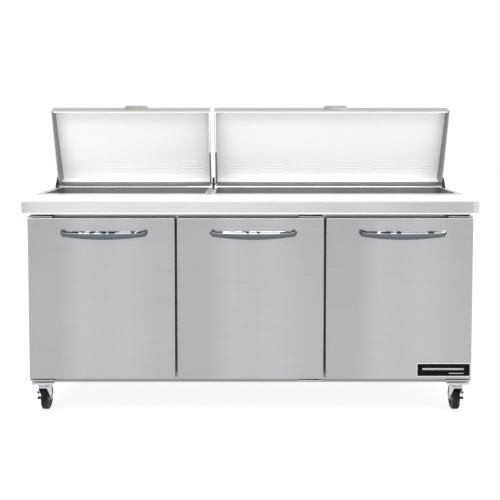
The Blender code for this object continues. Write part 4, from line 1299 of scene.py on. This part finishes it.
    def _stay(self, liner: str) -> None:
        """A dark round stay up the lower half of the hood's inner end.

        Args:
            liner: The liner's node.
        """
        start, upward, width, height, normal = self._plane(liner)
        across = width - self.stay_width * 0.6 if self.side == "left" else self.stay_width * 0.6
        path = [
            start + Vector((across, 0.0, 0.0)) + upward * rise - normal * 0.0006
            for rise in spread(0.012, height * 0.46, 5)
        ]
        strap = Mould()
        strap.tube(path, self.stay_width / 2, 8)
        strap.piece(f"lid_{self.side}_stay", owner(liner), STEEL_STRAP)

    def _lip(self, shell: str) -> None:
        """The rolled front lip along the hood's free edge.

        Args:
            shell: The shell's node.
        """
        start, upward, width, height, _ = self._plane(shell.replace("shell", "liner"))
        top = start + upward * (height + 0.0015)
        path = [(x, top.y + 0.0006, top.z) for x in spread(start.x + 0.002, start.x + width - 0.002, 7)]
        Mould().tube(path, 0.0016, 10).piece(f"lid_{self.side}_lip", owner(shell), STEEL_HOOD)


@dataclass
class HoodBrackets:
    """The pivot ears that the hoods turn on, each with its bright pin head."""

    pin: float = 0.0042

    def build(self) -> None:
        """Dress the ears and set a pin head on each one's outer faces."""
        for place in ("left", "centre", "right"):
            node = f"lid_bracket_{place}"
            redress(node, PLASTIC, 0.0010)
            low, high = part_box(node)
            size = self.pin * (0.5 if place == "centre" else 1.0)
            heads = Mould()
            for out, x in ((-1, low.x), (1, high.x)):
                facing_lid = (place, out) in (("left", 1), ("right", -1))
                if not facing_lid:
                    heads.bolt((x, *HOOD_PIVOT), Axis.X, out, size)
            heads.piece(f"{node}_screws", "root", CHROME_FORK)


# ------------------------------------------------------------------ doors
@dataclass
class Door:
    """An insulated door: folded outer pan, inner liner, ribbed gasket and bow handle."""

    side: str
    edge: float = 0.0030
    liner_rise: float = 0.0026
    rib_pitch: float = 0.0042
    handle_steps: int = 40

    def build(self) -> None:
        """Make each of the door's pieces."""
        self.body = f"door_{self.side}"
        self.low, self.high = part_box(f"door_{self.side}_panel")
        self._panel()
        self._gasket()
        self._handle()

    def _panel(self) -> None:
        """The outer pan as a folded sheet, and the shallow pressed liner on its back."""
        # Painted reflection: each door's steel carries light and dark bands along it in its base colour.
        finish = BrushedSteel(
            f"door_steel_{self.side}", "brushed", (0.470, 0.472, 0.478), 0.30, contrast=0.12,
            bands=DOOR_REFLECTION_BANDS, span=(self.low.x, self.high.x),
        )
        low, high = self.low, self.high
        mould = Mould().copy(f"door_{self.side}_panel")
        node = f"door_{self.side}_panel"
        mould.piece(f"{node}_skin", self.body, finish, (node,), self.edge * 0.5, turned=False)
        fold = 0.0020
        places = spread(low.x + 0.003, high.x - 0.003, 7)
        path = [(x, low.y + fold * 0.6, high.z - fold * 0.8) for x in places]
        # Painted highlight: the top fold's bright steel paints a light line along the door's top.
        Mould().tube(path, fold, 12).piece(f"door_{self.side}_top_fold", self.body, STEEL_BRIGHT_AND_HIGHLIGHT)
        inset, step = 0.024, self.liner_rise
        rings = []
        for inward, y, radius in (
            (0.0, high.y - 0.0002, 0.016),
            (0.002, high.y + step * 0.5, 0.016),
            (0.006, high.y + step, 0.014),
            (0.020, high.y + step, 0.012),
            (0.026, high.y + step * 0.35, 0.010),
            (0.060, high.y + step * 0.35, 0.010),
        ):
            out = inset + inward
            outline = rounded((low.x + out, low.z + out), (high.x - out, high.z - out), radius, 5)
            rings.append([(x, y, z) for x, z in outline])
        Mould().skin(rings).piece(f"door_{self.side}_inner_pan", self.body, STUCCO_PLAIN)

    def _gasket(self) -> None:
        """A magnetic gasket: a soft bellows ring with three ribs."""
        node = f"door_{self.side}_gasket"
        low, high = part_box(node)
        width = 0.0165
        section = []
        for inward, back in (
            (0.0, 0.10), (0.10, 0.0), (0.24, 0.16), (0.38, 0.0), (0.52, 0.16), (0.66, 0.0),
            (0.84, 0.20), (1.0, 0.45), (1.0, 0.80), (0.80, 1.0), (0.20, 1.0), (0.0, 0.70),
        ):
            section.append((inward * width, high.y - back * (high.y - low.y)))
        rings = []
        for inward, y in section:
            outline = rounded(
                (low.x + inward, low.z + inward), (high.x - inward, high.z - inward),
                max(0.004, 0.012 - inward * 0.4), 4,
            )
            rings.append([(x, y, z) for x, z in outline])
        Mould().skin(rings, looped=True).piece(f"{node}_bellows", self.body, GASKET, (node,))

    def _handle(self) -> None:
        """The bow handle: a crescent with upturned round ends and a lip that dips in the middle."""
        node = f"door_{self.side}_handle"
        low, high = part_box(node)
        length, reach = high.x - low.x, high.y - low.y
        rings = []
        for share in spread(-1.0, 1.0, self.handle_steps):
            x = (low.x + high.x) / 2 + share * length / 2
            end = max(0.0, (abs(share) - 0.86) / 0.14)
            tip = max(0.0, (abs(share) - 0.955) / 0.045)
            bow = 1.0 - share * share
            swell = math.sqrt(max(0.0, 1.0 - tip ** 2.2))
            top = low.z + 0.035 + 0.009 * end ** 1.3 - (1.0 - swell) * 0.007
            bottom = low.z + 0.0140 * (1.0 - bow) + (1.0 - swell) * 0.010
            front = high.y - reach * (0.30 + 0.70 * swell * (0.74 + 0.26 * bow))
            rings.append(self._section(x, high.y + 0.0001, front, bottom, top))
        Mould().skin(rings).piece(f"{node}_bow", self.body, CHROME, (node,))

    def _section(
        self, x: float, back: float, front: float, bottom: float, top: float
    ) -> list[tuple[float, float, float]]:
        """The handle's outline at one place along it.

        Args:
            x: The place.
            back: The door's face.
            front: How far out the handle comes.
            bottom: The height of its lip.
            top: The height of its upper edge.

        Returns:
            The outline, from the back of its top round the front to its lip.
        """
        depth, tall = front - back, top - bottom
        shape = (
            (0.00, 1.00), (0.26, 1.00), (0.50, 0.98), (0.70, 0.93), (0.86, 0.85), (0.96, 0.76),
            (1.00, 0.66), (1.00, 0.52), (0.97, 0.42), (0.90, 0.35), (0.80, 0.31), (0.76, 0.24),
            (0.76, 0.12), (0.72, 0.03), (0.62, 0.00), (0.53, 0.04), (0.50, 0.14), (0.54, 0.28),
            (0.62, 0.44), (0.64, 0.60), (0.56, 0.74), (0.38, 0.82), (0.00, 0.84),
        )
        return [(x, back + share * depth, bottom + rise * tall) for share, rise in shape]


@dataclass
class DoorHinges:
    """The pressed hinge brackets, with their pins, washers and screws."""

    screw: float = 0.0046
    screw_height: float = 0.846
    flange: float = 0.0012

    def build(self) -> None:
        """Dress each bracket and fasten it."""
        for end in ("top", "bottom"):
            for side in DOORS:
                node = f"hinge_{end}_{side}"
                redress(node, STEEL_BRACKET, 0.0007)
                low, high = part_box(node)
                heads = Mould()
                if end == "top":
                    for x in (low.x + 0.022, high.x - 0.022):
                        heads.bolt((x, high.y - self.flange, self.screw_height), Axis.Y, -1, self.screw)
                pin_x = (low.x if side == "left" else high.x) + (0.011 if side == "left" else -0.011)
                plate = low.z if end == "bottom" else high.z
                heads.bolt((pin_x, DOOR_PIN_Y, plate), Axis.Z, -1 if end == "bottom" else 1, 0.0038)
                heads.piece(f"{node}_fixings", "root", CHROME_FORK)


@dataclass
class Nameplate:
    """A black plate with a thin bright border and a mark of two plain bars."""

    border: float = 0.0016
    inset: float = -0.0004

    def build(self) -> None:
        """The plate, its mark and its border."""
        low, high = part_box("nameplate")
        rings = []
        for inward, y, radius in (
            (0.0, high.y, 0.007), (0.0, low.y + 0.0004, 0.007), (0.0008, low.y, 0.0065),
            (0.012, low.y, 0.004),
        ):
            outline = rounded(
                (low.x + inward, low.z + inward), (high.x - inward, high.z - inward), radius, 5
            )
            rings.append([(x, y, z) for x, z in outline])
        body = owner("nameplate")
        Mould().skin(rings).piece("nameplate_blank", body, PLATE, ("nameplate",))
        self._mark(low, high, body)
        inward = self.inset
        outline = rounded((low.x + inward, low.z + inward), (high.x - inward, high.z - inward), 0.005, 5)
        path = [(x, low.y, z) for x, z in outline]
        Mould().tube(path, self.border, 6, looped=True).piece("nameplate_border", body, STEEL_BRIGHT_AND_HIGHLIGHT)

    @staticmethod
    def _mark(low: Vector, high: Vector, body: str) -> None:
        """A plain mark of two bars, one long and one short.

        Args:
            low: The plate's lowest corner.
            high: Its highest corner.
            body: The body that it rides on.
        """
        width, height = high.x - low.x, high.z - low.z
        mark = Mould()
        for left, right, bottom, top in ((0.10, 0.88, 0.50, 0.64), (0.60, 0.88, 0.20, 0.26)):
            mark.block(
                (low.x + left * width, low.y - 0.0003, low.z + bottom * height),
                (low.x + right * width, low.y + 0.0003, low.z + top * height), 0.0002,
            )
        mark.piece("nameplate_mark", body, PLATE_MARK)


# ------------------------------------------------------------------ cabinet
@dataclass
class Cabinet:
    """The outer and inner sheets, the base, the grille and the fixings that hold them."""

    screw: float = 0.0042
    sill: float = 0.0010
    sill_height: float = 0.0130

    def build(self) -> None:
        """Dress every sheet and set its screws."""
        redress("end_panel_left", STEEL_UPRIGHT, 0.0004)
        redress("end_panel_right", STEEL_UPRIGHT, 0.0004)
        redress("back_panel", ZINC, 0.0004)
        redress("base_frame", ZINC_PALE, 0.0006)
        self._sill()
        redress("face_frame", STEEL_SHADED, 0.0006)
        redress("inner_liner", STUCCO, 0.0005)
        redress("pan_well", STEEL_DULL_AND_SHADOW, 0.0006)
        redress("insulation", FOAM, 0.0)
        self._screws()
        self._pressings()
        self._grille()
        self._mullion_covers()

    def _sill(self) -> None:
        """A dull folded rail along the top of the base frame's front, under the doors: painted shadow, a dark
        line below the doors.
        """
        low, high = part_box("base_frame")
        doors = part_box("door_left_panel")[0].x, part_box("door_right_panel")[1].x
        rail = Mould()
        rail.block(
            (doors[0] + 0.004, low.y - self.sill, high.z - self.sill_height),
            (doors[1] - 0.004, low.y + 0.0004, high.z), 0.0004,
        )
        rail.piece("base_shadow_sill", "root", STEEL_DULL_AND_SHADOW)

    def _screws(self) -> None:
        """Screws down the edges of the back panel and the ends."""
        low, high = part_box("back_panel")
        heads = Mould()
        for z in spread(low.z + 0.030, high.z - 0.050, 6):
            for x in (low.x + 0.014, high.x - 0.014):
                heads.bolt((x, high.y, z), Axis.Y, 1, self.screw)
        for x in spread(low.x + 0.10, high.x - 0.10, 7):
            heads.bolt((x, high.y, low.z + 0.014), Axis.Y, 1, self.screw)
        for side, out in (("left", -1), ("right", 1)):
            end_low, end_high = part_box(f"end_panel_{side}")
            face = end_low.x if out < 0 else end_high.x
            for z in spread(end_low.z + 0.030, end_high.z - 0.060, 5):
                heads.bolt((face, end_high.y - 0.014, z), Axis.X, out, self.screw)
            for y in spread(end_low.y + 0.06, end_high.y - 0.10, 3):
                heads.bolt((face, y, end_low.z + 0.012), Axis.X, out, self.screw)
        heads.piece("sheet_screws", "root", CHROME_FORK)

    def _pressings(self) -> None:
        """Stiffening swages pressed into the back panel, each a low rounded rib."""
        low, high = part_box("back_panel")
        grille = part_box("rear_grille")[0]
        ribs = Mould()
        for left, right in ((low.x + 0.10, -0.34), (-0.24, 0.22)):
            for z in (0.52, 0.66, 0.80):
                self._rib(ribs, left, right, high.y, z)
        self._rib(ribs, grille.x, high.x - 0.08, high.y, 0.66)
        self._rib(ribs, grille.x, high.x - 0.08, high.y, 0.80)
        ribs.piece("back_panel_swages", "root", ZINC)

    @staticmethod
    def _rib(mould: Mould, left: float, right: float, face: float, z: float) -> None:
        """One swage with tapered ends.

        Args:
            mould: The mould it goes into.
            left: Where it starts.
            right: Where it ends.
            face: The sheet's face.
            z: Its height.
        """
        rings = []
        for inward, out in ((0.0, -0.0004), (0.003, 0.0012), (0.0075, 0.0022), (0.0095, 0.0023)):
            outline = rounded(
                (left + inward, z - 0.011 + inward), (right - inward, z + 0.011 - inward),
                max(0.0008, 0.0105 - inward), 5,
            )
            rings.append([(x, face + out, height) for x, height in outline])
        mould.skin(rings)

    def _grille(self) -> None:
        """The machine bay's louvred cover, with its screws."""
        redress("rear_grille", ENAMEL_GREY, 0.0004)
        low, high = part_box("rear_grille")
        heads = Mould()
        for x in (low.x + 0.010, (low.x + high.x) / 2, high.x - 0.010):
            for z in (low.z + 0.010, high.z - 0.010):
                heads.bolt((x, high.y - 0.0008, z), Axis.Y, 1, self.screw)
        heads.piece("rear_grille_screws", "root", CHROME_FORK)

    def _mullion_covers(self) -> None:
        """Black breaker strips on the face frame behind the gaps between the doors."""
        low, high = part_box("face_frame")
        strips = Mould()
        for first, second in (("left", "middle"), ("middle", "right")):
            middle = (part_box(f"door_{first}_panel")[1].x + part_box(f"door_{second}_panel")[0].x) / 2
            strips.block(
                (middle - 0.006, low.y - 0.0006, 0.170), (middle + 0.006, low.y + 0.0008, 0.812), 0.0005
            )
        strips.piece("mullion_strips", "root", PLASTIC_GREY)


@dataclass
class WireShelf:
    """A chromed wire shelf: round frame rods with finer wires across them."""

    side: str
    rod: float = 0.0034
    wire: float = 0.0019
    pitch: float = 0.0245

    def build(self) -> None:
        """The frame, two stretchers and the deck's wires."""
        node = f"shelf_{self.side}"
        low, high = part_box(node)
        rod, wire = self.rod, self.wire
        mould = Mould()
        z = low.z + rod
        corners = rounded((low.x + rod, low.y + rod), (high.x - rod, high.y - rod), 0.014, 5)
        mould.tube([(x, y, z) for x, y in corners], rod, 10, looped=True)
        for y in ((2 * low.y + high.y) / 3, (low.y + 2 * high.y) / 3):
            mould.tube([(low.x + 0.004, y, z), (high.x - 0.004, y, z)], rod * 0.85, 10)
        count = max(3, round((high.x - low.x - 0.03) / self.pitch))
        deck = z + rod * 0.85 + wire * 0.6
        for x in spread(low.x + 0.018, high.x - 0.018, count):
            path = [
                (x, low.y + 0.0035, deck - 0.0032), (x, low.y + 0.0060, deck - 0.0006),
                (x, low.y + 0.0090, deck), (x, high.y - 0.0090, deck),
                (x, high.y - 0.0060, deck - 0.0006), (x, high.y - 0.0035, deck - 0.0032),
            ]
            mould.tube(path, wire, 8)
        mould.piece(f"{node}_wires", "root", CHROME_PLAIN, (node,))


# ------------------------------------------------------------------ casters
@dataclass
class Caster:
    """A swivel caster: ball race, pressed fork, tyred wheel, axle bolt, and a brake on the front pair."""

    end: str
    side: str
    shoulder: float = 0.0036
    hub: float = 0.0155
    nut: float = 0.0062
    nut_out: float = 0.0192

    def build(self) -> None:
        """Make the caster's pieces."""
        self.name = f"caster_{self.end}_{self.side}"
        self._wheel()
        self._fork()
        if self.end == "front":
            self._brake()

    def _wheel(self) -> None:
        """A tyre with a crowned tread and grooved shoulders, moulded round a dished wheel."""
        node = f"{self.name}_wheel"
        low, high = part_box(node)
        middle = middle_of(node)
        radius, half = (high.z - low.z) / 2, (high.x - low.x) / 2
        inner = radius * 0.74
        tyre = Mould().lathe(
            mirrored((
                (-half * 0.80, inner), (-half, inner + 0.0015), (-half, radius - self.shoulder),
                (-half + 0.0009, radius - self.shoulder * 0.45), (-half + 0.0028, radius - 0.0006),
                (-half * 0.45, radius - 0.0001), (-half * 0.22, radius), (-half * 0.18, radius - 0.0009),
                (-half * 0.12, radius - 0.0009), (-half * 0.08, radius),
            )),
            middle, Axis.X, 72,
        )
        body = owner(node)
        tyre.piece(f"{self.name}_tyre", body, TYRE, (node,))
        disc = Mould().lathe(
            mirrored((
                (-half * 0.86, 0.0052), (-half * 0.86, self.hub - 0.002), (-half * 0.80, self.hub),
                (-half * 0.34, self.hub + 0.004), (-half * 0.30, inner - 0.009),
                (-half * 0.55, inner - 0.004), (-half * 0.84, inner - 0.0010), (-half * 0.84, inner + 0.0006),
            )),
            middle, Axis.X, 56,
        )
        for index in range(5):
            spoke = Mould().block(
                middle + Vector((-half * 0.46, -0.0016, self.hub - 0.001)),
                middle + Vector((half * 0.46, 0.0016, inner - 0.006)), 0.0008,
            )
            disc.add(spoke.spin(middle, Axis.X, 72.0 * index))
        disc.piece(f"{self.name}_disc", body, PLASTIC_GREY)

    def _fork(self) -> None:
        """The fork with softened pressings, its ball race and axle nuts."""
        node = f"{self.name}_fork"
        redress(node, CHROME_FORK, 0.0008)
        low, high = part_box(node)
        wheel = middle_of(f"{self.name}_wheel")
        stem = (low.x + high.x) / 2
        body = owner(node)
        fittings = Mould()
        for out in (-1, 1):
            fittings.bolt((wheel.x + out * self.nut_out, wheel.y, wheel.z), Axis.X, out, self.nut, 6)
        fittings.piece(f"{self.name}_axle_nuts", body, CHROME_PLAIN)
        stem_y = wheel.y - 0.038
        race = Mould().lathe(
            ((high.z - 0.0125, 0.0262), (high.z - 0.0095, 0.0285), (high.z - 0.0065, 0.0290),
             (high.z - 0.0045, 0.0272), (high.z - 0.0045, 0.0200), (high.z - 0.0125, 0.0200)),
            (stem, stem_y, 0.0), Axis.Z, 48,
        )
        race.piece(f"{self.name}_ball_race", body, ZINC_PALE)

    def _brake(self) -> None:
        """The brake pedal with its ribbed tread."""
        node = f"{self.name}_brake"
        redress(node, PLASTIC, 0.0010)
        low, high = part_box(node)
        out = -1 if self.side == "left" else 1
        face = low.x if out < 0 else high.x
        ribs = Mould()
        for z in spread((low.z + high.z) / 2 - 0.010, (low.z + high.z) / 2 + 0.010, 4):
            ribs.tube([(face, y, z) for y in (low.y + 0.006, high.y - 0.006)], 0.0009, 8)
        ribs.piece(f"{node}_ribs", owner(node), PLASTIC_GREY)


# ------------------------------------------------------------------ refrigeration
@dataclass
class Fan:
    """A fan with pitched, swept blades on a domed hub."""

    node: str
    blades: int = 5
    pitch: float = 28.0
    sections: int = 7

    def build(self) -> None:
        """The hub and its blades, as one moulding."""
        low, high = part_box(self.node)
        middle = middle_of(self.node)
        radius, depth = (high.x - low.x) / 2, high.y - low.y
        hub = radius * 0.30
        fan = Mould().lathe(
            ((-depth * 0.42, 0.0002), (-depth * 0.42, hub * 0.55), (-depth * 0.34, hub * 0.86),
             (-depth * 0.18, hub), (depth * 0.30, hub), (depth * 0.34, hub * 0.90),
             (depth * 0.34, 0.0002)),
            middle, Axis.Y, 36,
        )
        for index in range(self.blades):
            turn = 360.0 * index / self.blades
            fan.add(self._blade(middle, hub, radius, depth).spin(middle, Axis.Y, turn))
        fan.piece(f"{self.node}_rotor", owner(self.node), PLASTIC, (self.node,))

    def _blade(self, middle: Vector, hub: float, radius: float, depth: float) -> Mould:
        """One blade, lofted outward with less pitch and more sweep as it goes.

        Args:
            middle: The fan's middle.
            hub: The hub's radius.
            radius: The blade's reach.
            depth: The fan's depth.

        Returns:
            The blade in a mould of its own.
        """
        rings = []
        for step in range(self.sections):
            share = step / (self.sections - 1)
            out = hub * 0.92 + (radius * 0.985 - hub * 0.92) * share
            chord = radius * (0.40 + 0.26 * math.sin(math.pi * min(1.0, share * 0.75 + 0.15)))
            chord *= math.sqrt(max(0.12, 1.0 - max(0.0, share - 0.75) ** 2 * 9.0))
            pitch = math.radians(self.pitch + 16.0 * (1.0 - share))
            sweep = 0.30 * share * share
            ring = []
            count = 9
            for side in (1, -1):
                for index in range(count):
                    along = index / (count - 1) if side > 0 else 1.0 - index / (count - 1)
                    thick = 0.0011 * math.sqrt(max(0.05, 1.0 - (2.0 * along - 1.0) ** 2)) * side
                    camber = 0.05 * chord * (1.0 - (2.0 * along - 1.0) ** 2)
                    across = (along - 0.5) * chord
                    lift = min(depth * 0.44, max(-depth * 0.44, across * math.sin(pitch)))
                    turn = across * math.cos(pitch) / out + sweep
                    ring.append(
                        middle + Vector((out * math.sin(turn), lift + thick + camber, out * math.cos(turn)))
                    )
            rings.append(ring)
        return Mould().skin(rings)


@dataclass
class Coil:
    """A finned heat exchanger: its block and the return bends of its tubes."""

    node: str
    pitch: float = 0.028
    tube: float = 0.0046

    def build(self) -> None:
        """Dress the block, then add the bends at its end."""
        redress(self.node, FIN_STOCK, 0.0005)
        low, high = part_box(self.node)
        bends = Mould()
        count = int((high.z - low.z - 0.05) / self.pitch)
        rows = [low.z + 0.030 + self.pitch * index for index in range(count)]
        bend = self.pitch / 2
        for z in rows[::2]:
            if z + self.pitch > high.z - 0.02:
                continue
            arc = [
                (low.x - 0.006 * math.sin(math.pi * step / 8), high.y - 0.020,
                 z + bend - bend * math.cos(math.pi * step / 8))
                for step in range(9)
            ]
            bends.tube(arc, self.tube * 0.8, 10)
        if rows:
            bends.piece(f"{self.node}_return_bends", "root", TUBE_STOCK)


@dataclass
class Compressor:
    """The welded hermetic compressor, with its seam, stubs and terminal box."""

    seam: float = 0.0030

    def build(self) -> None:
        """Turn the domed shell and set its fittings."""
        low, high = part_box("compressor")
        middle = middle_of("compressor")
        radius = min(high.x - low.x, high.y - low.y) / 2 - 0.004
        tall = high.z - low.z
        foot = low.z + 0.012
        shell = Mould().lathe(
            (
                (0.0, radius * 0.62), (0.004, radius * 0.80), (0.012, radius * 0.92),
                (0.026, radius * 0.97), (tall * 0.44, radius * 0.975), (tall * 0.452, radius),
                (tall * 0.470, radius + self.seam), (tall * 0.486, radius), (tall * 0.50, radius * 0.965),
                (tall * 0.66, radius * 0.955), (tall * 0.76, radius * 0.90), (tall * 0.84, radius * 0.76),
                (tall * 0.89, radius * 0.52), (tall * 0.915, radius * 0.24), (tall * 0.92, 0.0002),
            ),
            (middle.x, middle.y, foot), Axis.Z, 56,
        )
        shell.block(
            (low.x + 0.001, middle.y - 0.030, low.z),
            (high.x - 0.001, middle.y + 0.030, low.z + 0.004), 0.0015,
        )
        shell.block(
            (middle.x - 0.040, low.y + 0.001, low.z + 0.002),
            (middle.x + 0.040, high.y - 0.001, low.z + 0.006), 0.0015,
        )
        for x in (low.x + 0.014, high.x - 0.014):
            for y in (middle.y - 0.018, middle.y + 0.018):
                shell.lathe(
                    ((0.0, 0.0075), (0.010, 0.0075), (0.012, 0.006), (0.016, 0.0045), (0.0165, 0.0002)),
                    (x, y, low.z + 0.003), Axis.Z, 20,
                )
        shell.piece("compressor_shell", "root", ENAMEL, ("compressor",))
        box = Mould().block(
            (low.x + 0.001, middle.y - 0.026, low.z + 0.050),
            (low.x + 0.022, middle.y + 0.026, low.z + 0.096), 0.004, 3,
        )
        box.piece("compressor_terminal_box", "root", PLASTIC_GREY)


@dataclass
class Controls:
    """The temperature control: its plate, scale, pointer knob and gland."""

    ticks: int = 10
    first: float = 225.0
    sweep: float = 270.0

    def build(self) -> None:
        """Dress the plate, print its scale and turn the knob and gland."""
        redress("control_panel", PLASTIC_GREY, 0.0012)
        redress("cord_gland", PLASTIC, 0.0008)
        low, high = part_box("control_knob")
        middle = (low + high) / 2
        radius = (high.x - low.x) / 2
        depth = high.y - low.y
        profile = (
            (0.0, radius), (depth * 0.20, radius), (depth * 0.26, radius * 0.94),
            (depth * 0.86, radius * 0.84), (depth * 0.97, radius * 0.76), (depth, radius * 0.62),
            (depth * 0.95, 0.0002),
        )
        rings = []
        for along, size in profile:
            ring = []
            for step in range(72):
                turn = math.tau * step / 72
                grip = size * (1.0 - (0.05 if step % 6 < 2 and 0.2 < along / depth < 0.97 else 0.0))
                across, up = grip * math.cos(turn), grip * math.sin(turn)
                ring.append((middle.x + across, low.y + along, middle.z + up))
            rings.append(ring)
        Mould().skin(rings).piece("control_knob_cap", owner("control_knob"), PLASTIC, ("control_knob",))
        pointer = Mould().block(
            (middle.x - 0.0008, high.y - 0.0009, middle.z + radius * 0.20),
            (middle.x + 0.0008, high.y + 0.0002, middle.z + radius * 0.66), 0.0003,
        )
        pointer.piece("control_knob_pointer", owner("control_knob"), PLASTIC_WHITE)
        self._scale(middle, radius)

    def _scale(self, middle: Vector, radius: float) -> None:
        """The printed ticks and plain numbers round the knob.

        Args:
            middle: The knob's middle.
            radius: The knob's radius.
        """
        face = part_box("control_panel")[1].y
        ticks = Mould()
        for index in range(self.ticks):
            angle = math.radians(self.first - self.sweep * index / (self.ticks - 1))
            inner, outer = radius + 0.0022, radius + (0.0050 if index % 3 == 0 else 0.0038)
            start = (middle.x - inner * math.cos(angle), face, middle.z + inner * math.sin(angle))
            end = (middle.x - outer * math.cos(angle), face, middle.z + outer * math.sin(angle))
            ticks.tube([start, end], 0.00035, 6)
        ticks.piece("control_scale_ticks", "root", PLASTIC_WHITE)
        for index in range(1, self.ticks, 2):
            angle = math.radians(self.first - self.sweep * index / (self.ticks - 1))
            reach = radius + 0.0086
            curve = bpy.data.curves.new(f"control_number_{index}", "FONT")
            curve.body, curve.size, curve.extrude = str(index), 0.0052, 0.0001
            curve.align_x, curve.align_y = "CENTER", "CENTER"
            curve.materials.append(PLASTIC_WHITE.material())
            number = bpy.data.objects.new(f"control_number_{index}", curve)
            bpy.context.scene.collection.objects.link(number)
            number.rotation_euler = (math.radians(90.0), 0.0, math.radians(180.0))
            number.location = (
                middle.x - reach * math.cos(angle), face + 0.0002, middle.z + reach * math.sin(angle)
            )
            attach(number, "root")


# ------------------------------------------------------------------ studio
@dataclass
class Studio:
    """A pale floor, soft even light, and the camera."""

    place: tuple[float, float, float] = (-0.0018, -3.455, 1.206)
    down: float = 3.0
    lens: float = 55.7
    shift: float = -0.1745
    floor_reach: float = 14.0
    world: float = 1.0

    def build(self) -> None:
        """Lay the floor, light the room and stand the camera."""
        scene = bpy.context.scene
        scene.view_settings.view_transform = "Standard"
        scene.view_settings.look = "None"
        self._floor()
        self._sky()
        self._lamps()
        data = bpy.data.cameras.new("camera")
        data.lens, data.sensor_width, data.shift_y = self.lens, 36.0, self.shift
        data.clip_end = 60.0
        camera = bpy.data.objects.new("camera", data)
        camera.location = self.place
        camera.rotation_euler = (math.radians(90.0 - self.down), 0.0, 0.0)
        scene.collection.objects.link(camera)
        scene.camera = camera

    def _floor(self) -> None:
        """A wide flat sheet just under the casters."""
        reach = self.floor_reach
        sheet = bmesh.new()
        corners = [sheet.verts.new((x, y, -0.0004)) for x, y in
                   ((-reach, -reach), (reach, -reach), (reach, reach), (-reach, reach))]
        sheet.faces.new(corners)
        data = bpy.data.meshes.new("studio_floor")
        sheet.to_mesh(data)
        sheet.free()
        data.materials.append(FLOOR.material())
        floor = bpy.data.objects.new("studio_floor", data)
        bpy.context.scene.collection.objects.link(floor)

    def _sky(self) -> None:
        """An even, near-white surround."""
        world = bpy.data.worlds.new("studio")
        world.use_nodes = True
        backdrop = world.node_tree.nodes["Background"]
        backdrop.inputs["Color"].default_value = (1.0, 1.0, 1.0, 1.0)
        backdrop.inputs["Strength"].default_value = self.world
        bpy.context.scene.world = world

    def _lamps(self) -> None:
        """Four wide soft lamps that model the folds without hard shadows."""
        for name, place, aim, size, power in (
            ("key", (-2.6, -3.2, 3.6), (0.0, 0.0, 0.7), 2.4, 46.0),
            ("fill", (3.0, -2.4, 2.8), (0.2, 0.0, 0.7), 2.6, 18.0),
            ("front", (0.2, -3.4, 4.4), (0.2, 0.2, 1.1), 2.2, 66.0),
            ("rear", (0.5, 3.8, 0.9), (0.0, 0.0, 0.7), 2.2, 22.0),
        ):
            light = bpy.data.lights.new(name, "AREA")
            light.shape, light.size, light.energy = "SQUARE", size, power
            lamp = bpy.data.objects.new(name, light)
            lamp.location = place
            lamp.visible_camera = False
            lamp.rotation_euler = (Vector(aim) - Vector(place)).to_track_quat("-Z", "Y").to_euler()
            bpy.context.scene.collection.objects.link(lamp)


def main() -> None:
    """Build the table, one sub-assembly after another."""
    logging.basicConfig(level=logging.INFO, format="%(name)s: %(message)s")
    Studio().build()
    Worktop().build()
    CuttingBoard().build()
    for side, columns in (("left", 4), ("right", 6)):
        for row in ("front", "back"):
            PanRow(side, row, columns).build()
        Hood(side).build()
    HoodBrackets().build()
    for side in DOORS:
        Door(side).build()
        WireShelf(side).build()
    DoorHinges().build()
    Nameplate().build()
    Cabinet().build()
    for end in ("front", "rear"):
        for side in SIDES:
            Caster(end, side).build()
    Fan("condenser_fan").build()
    Fan("evaporator_fan").build()
    Coil("condenser_coil").build()
    Coil("evaporator_coil").build()
    Compressor().build()
    Controls().build()


if __name__ == "__main__":
    main()
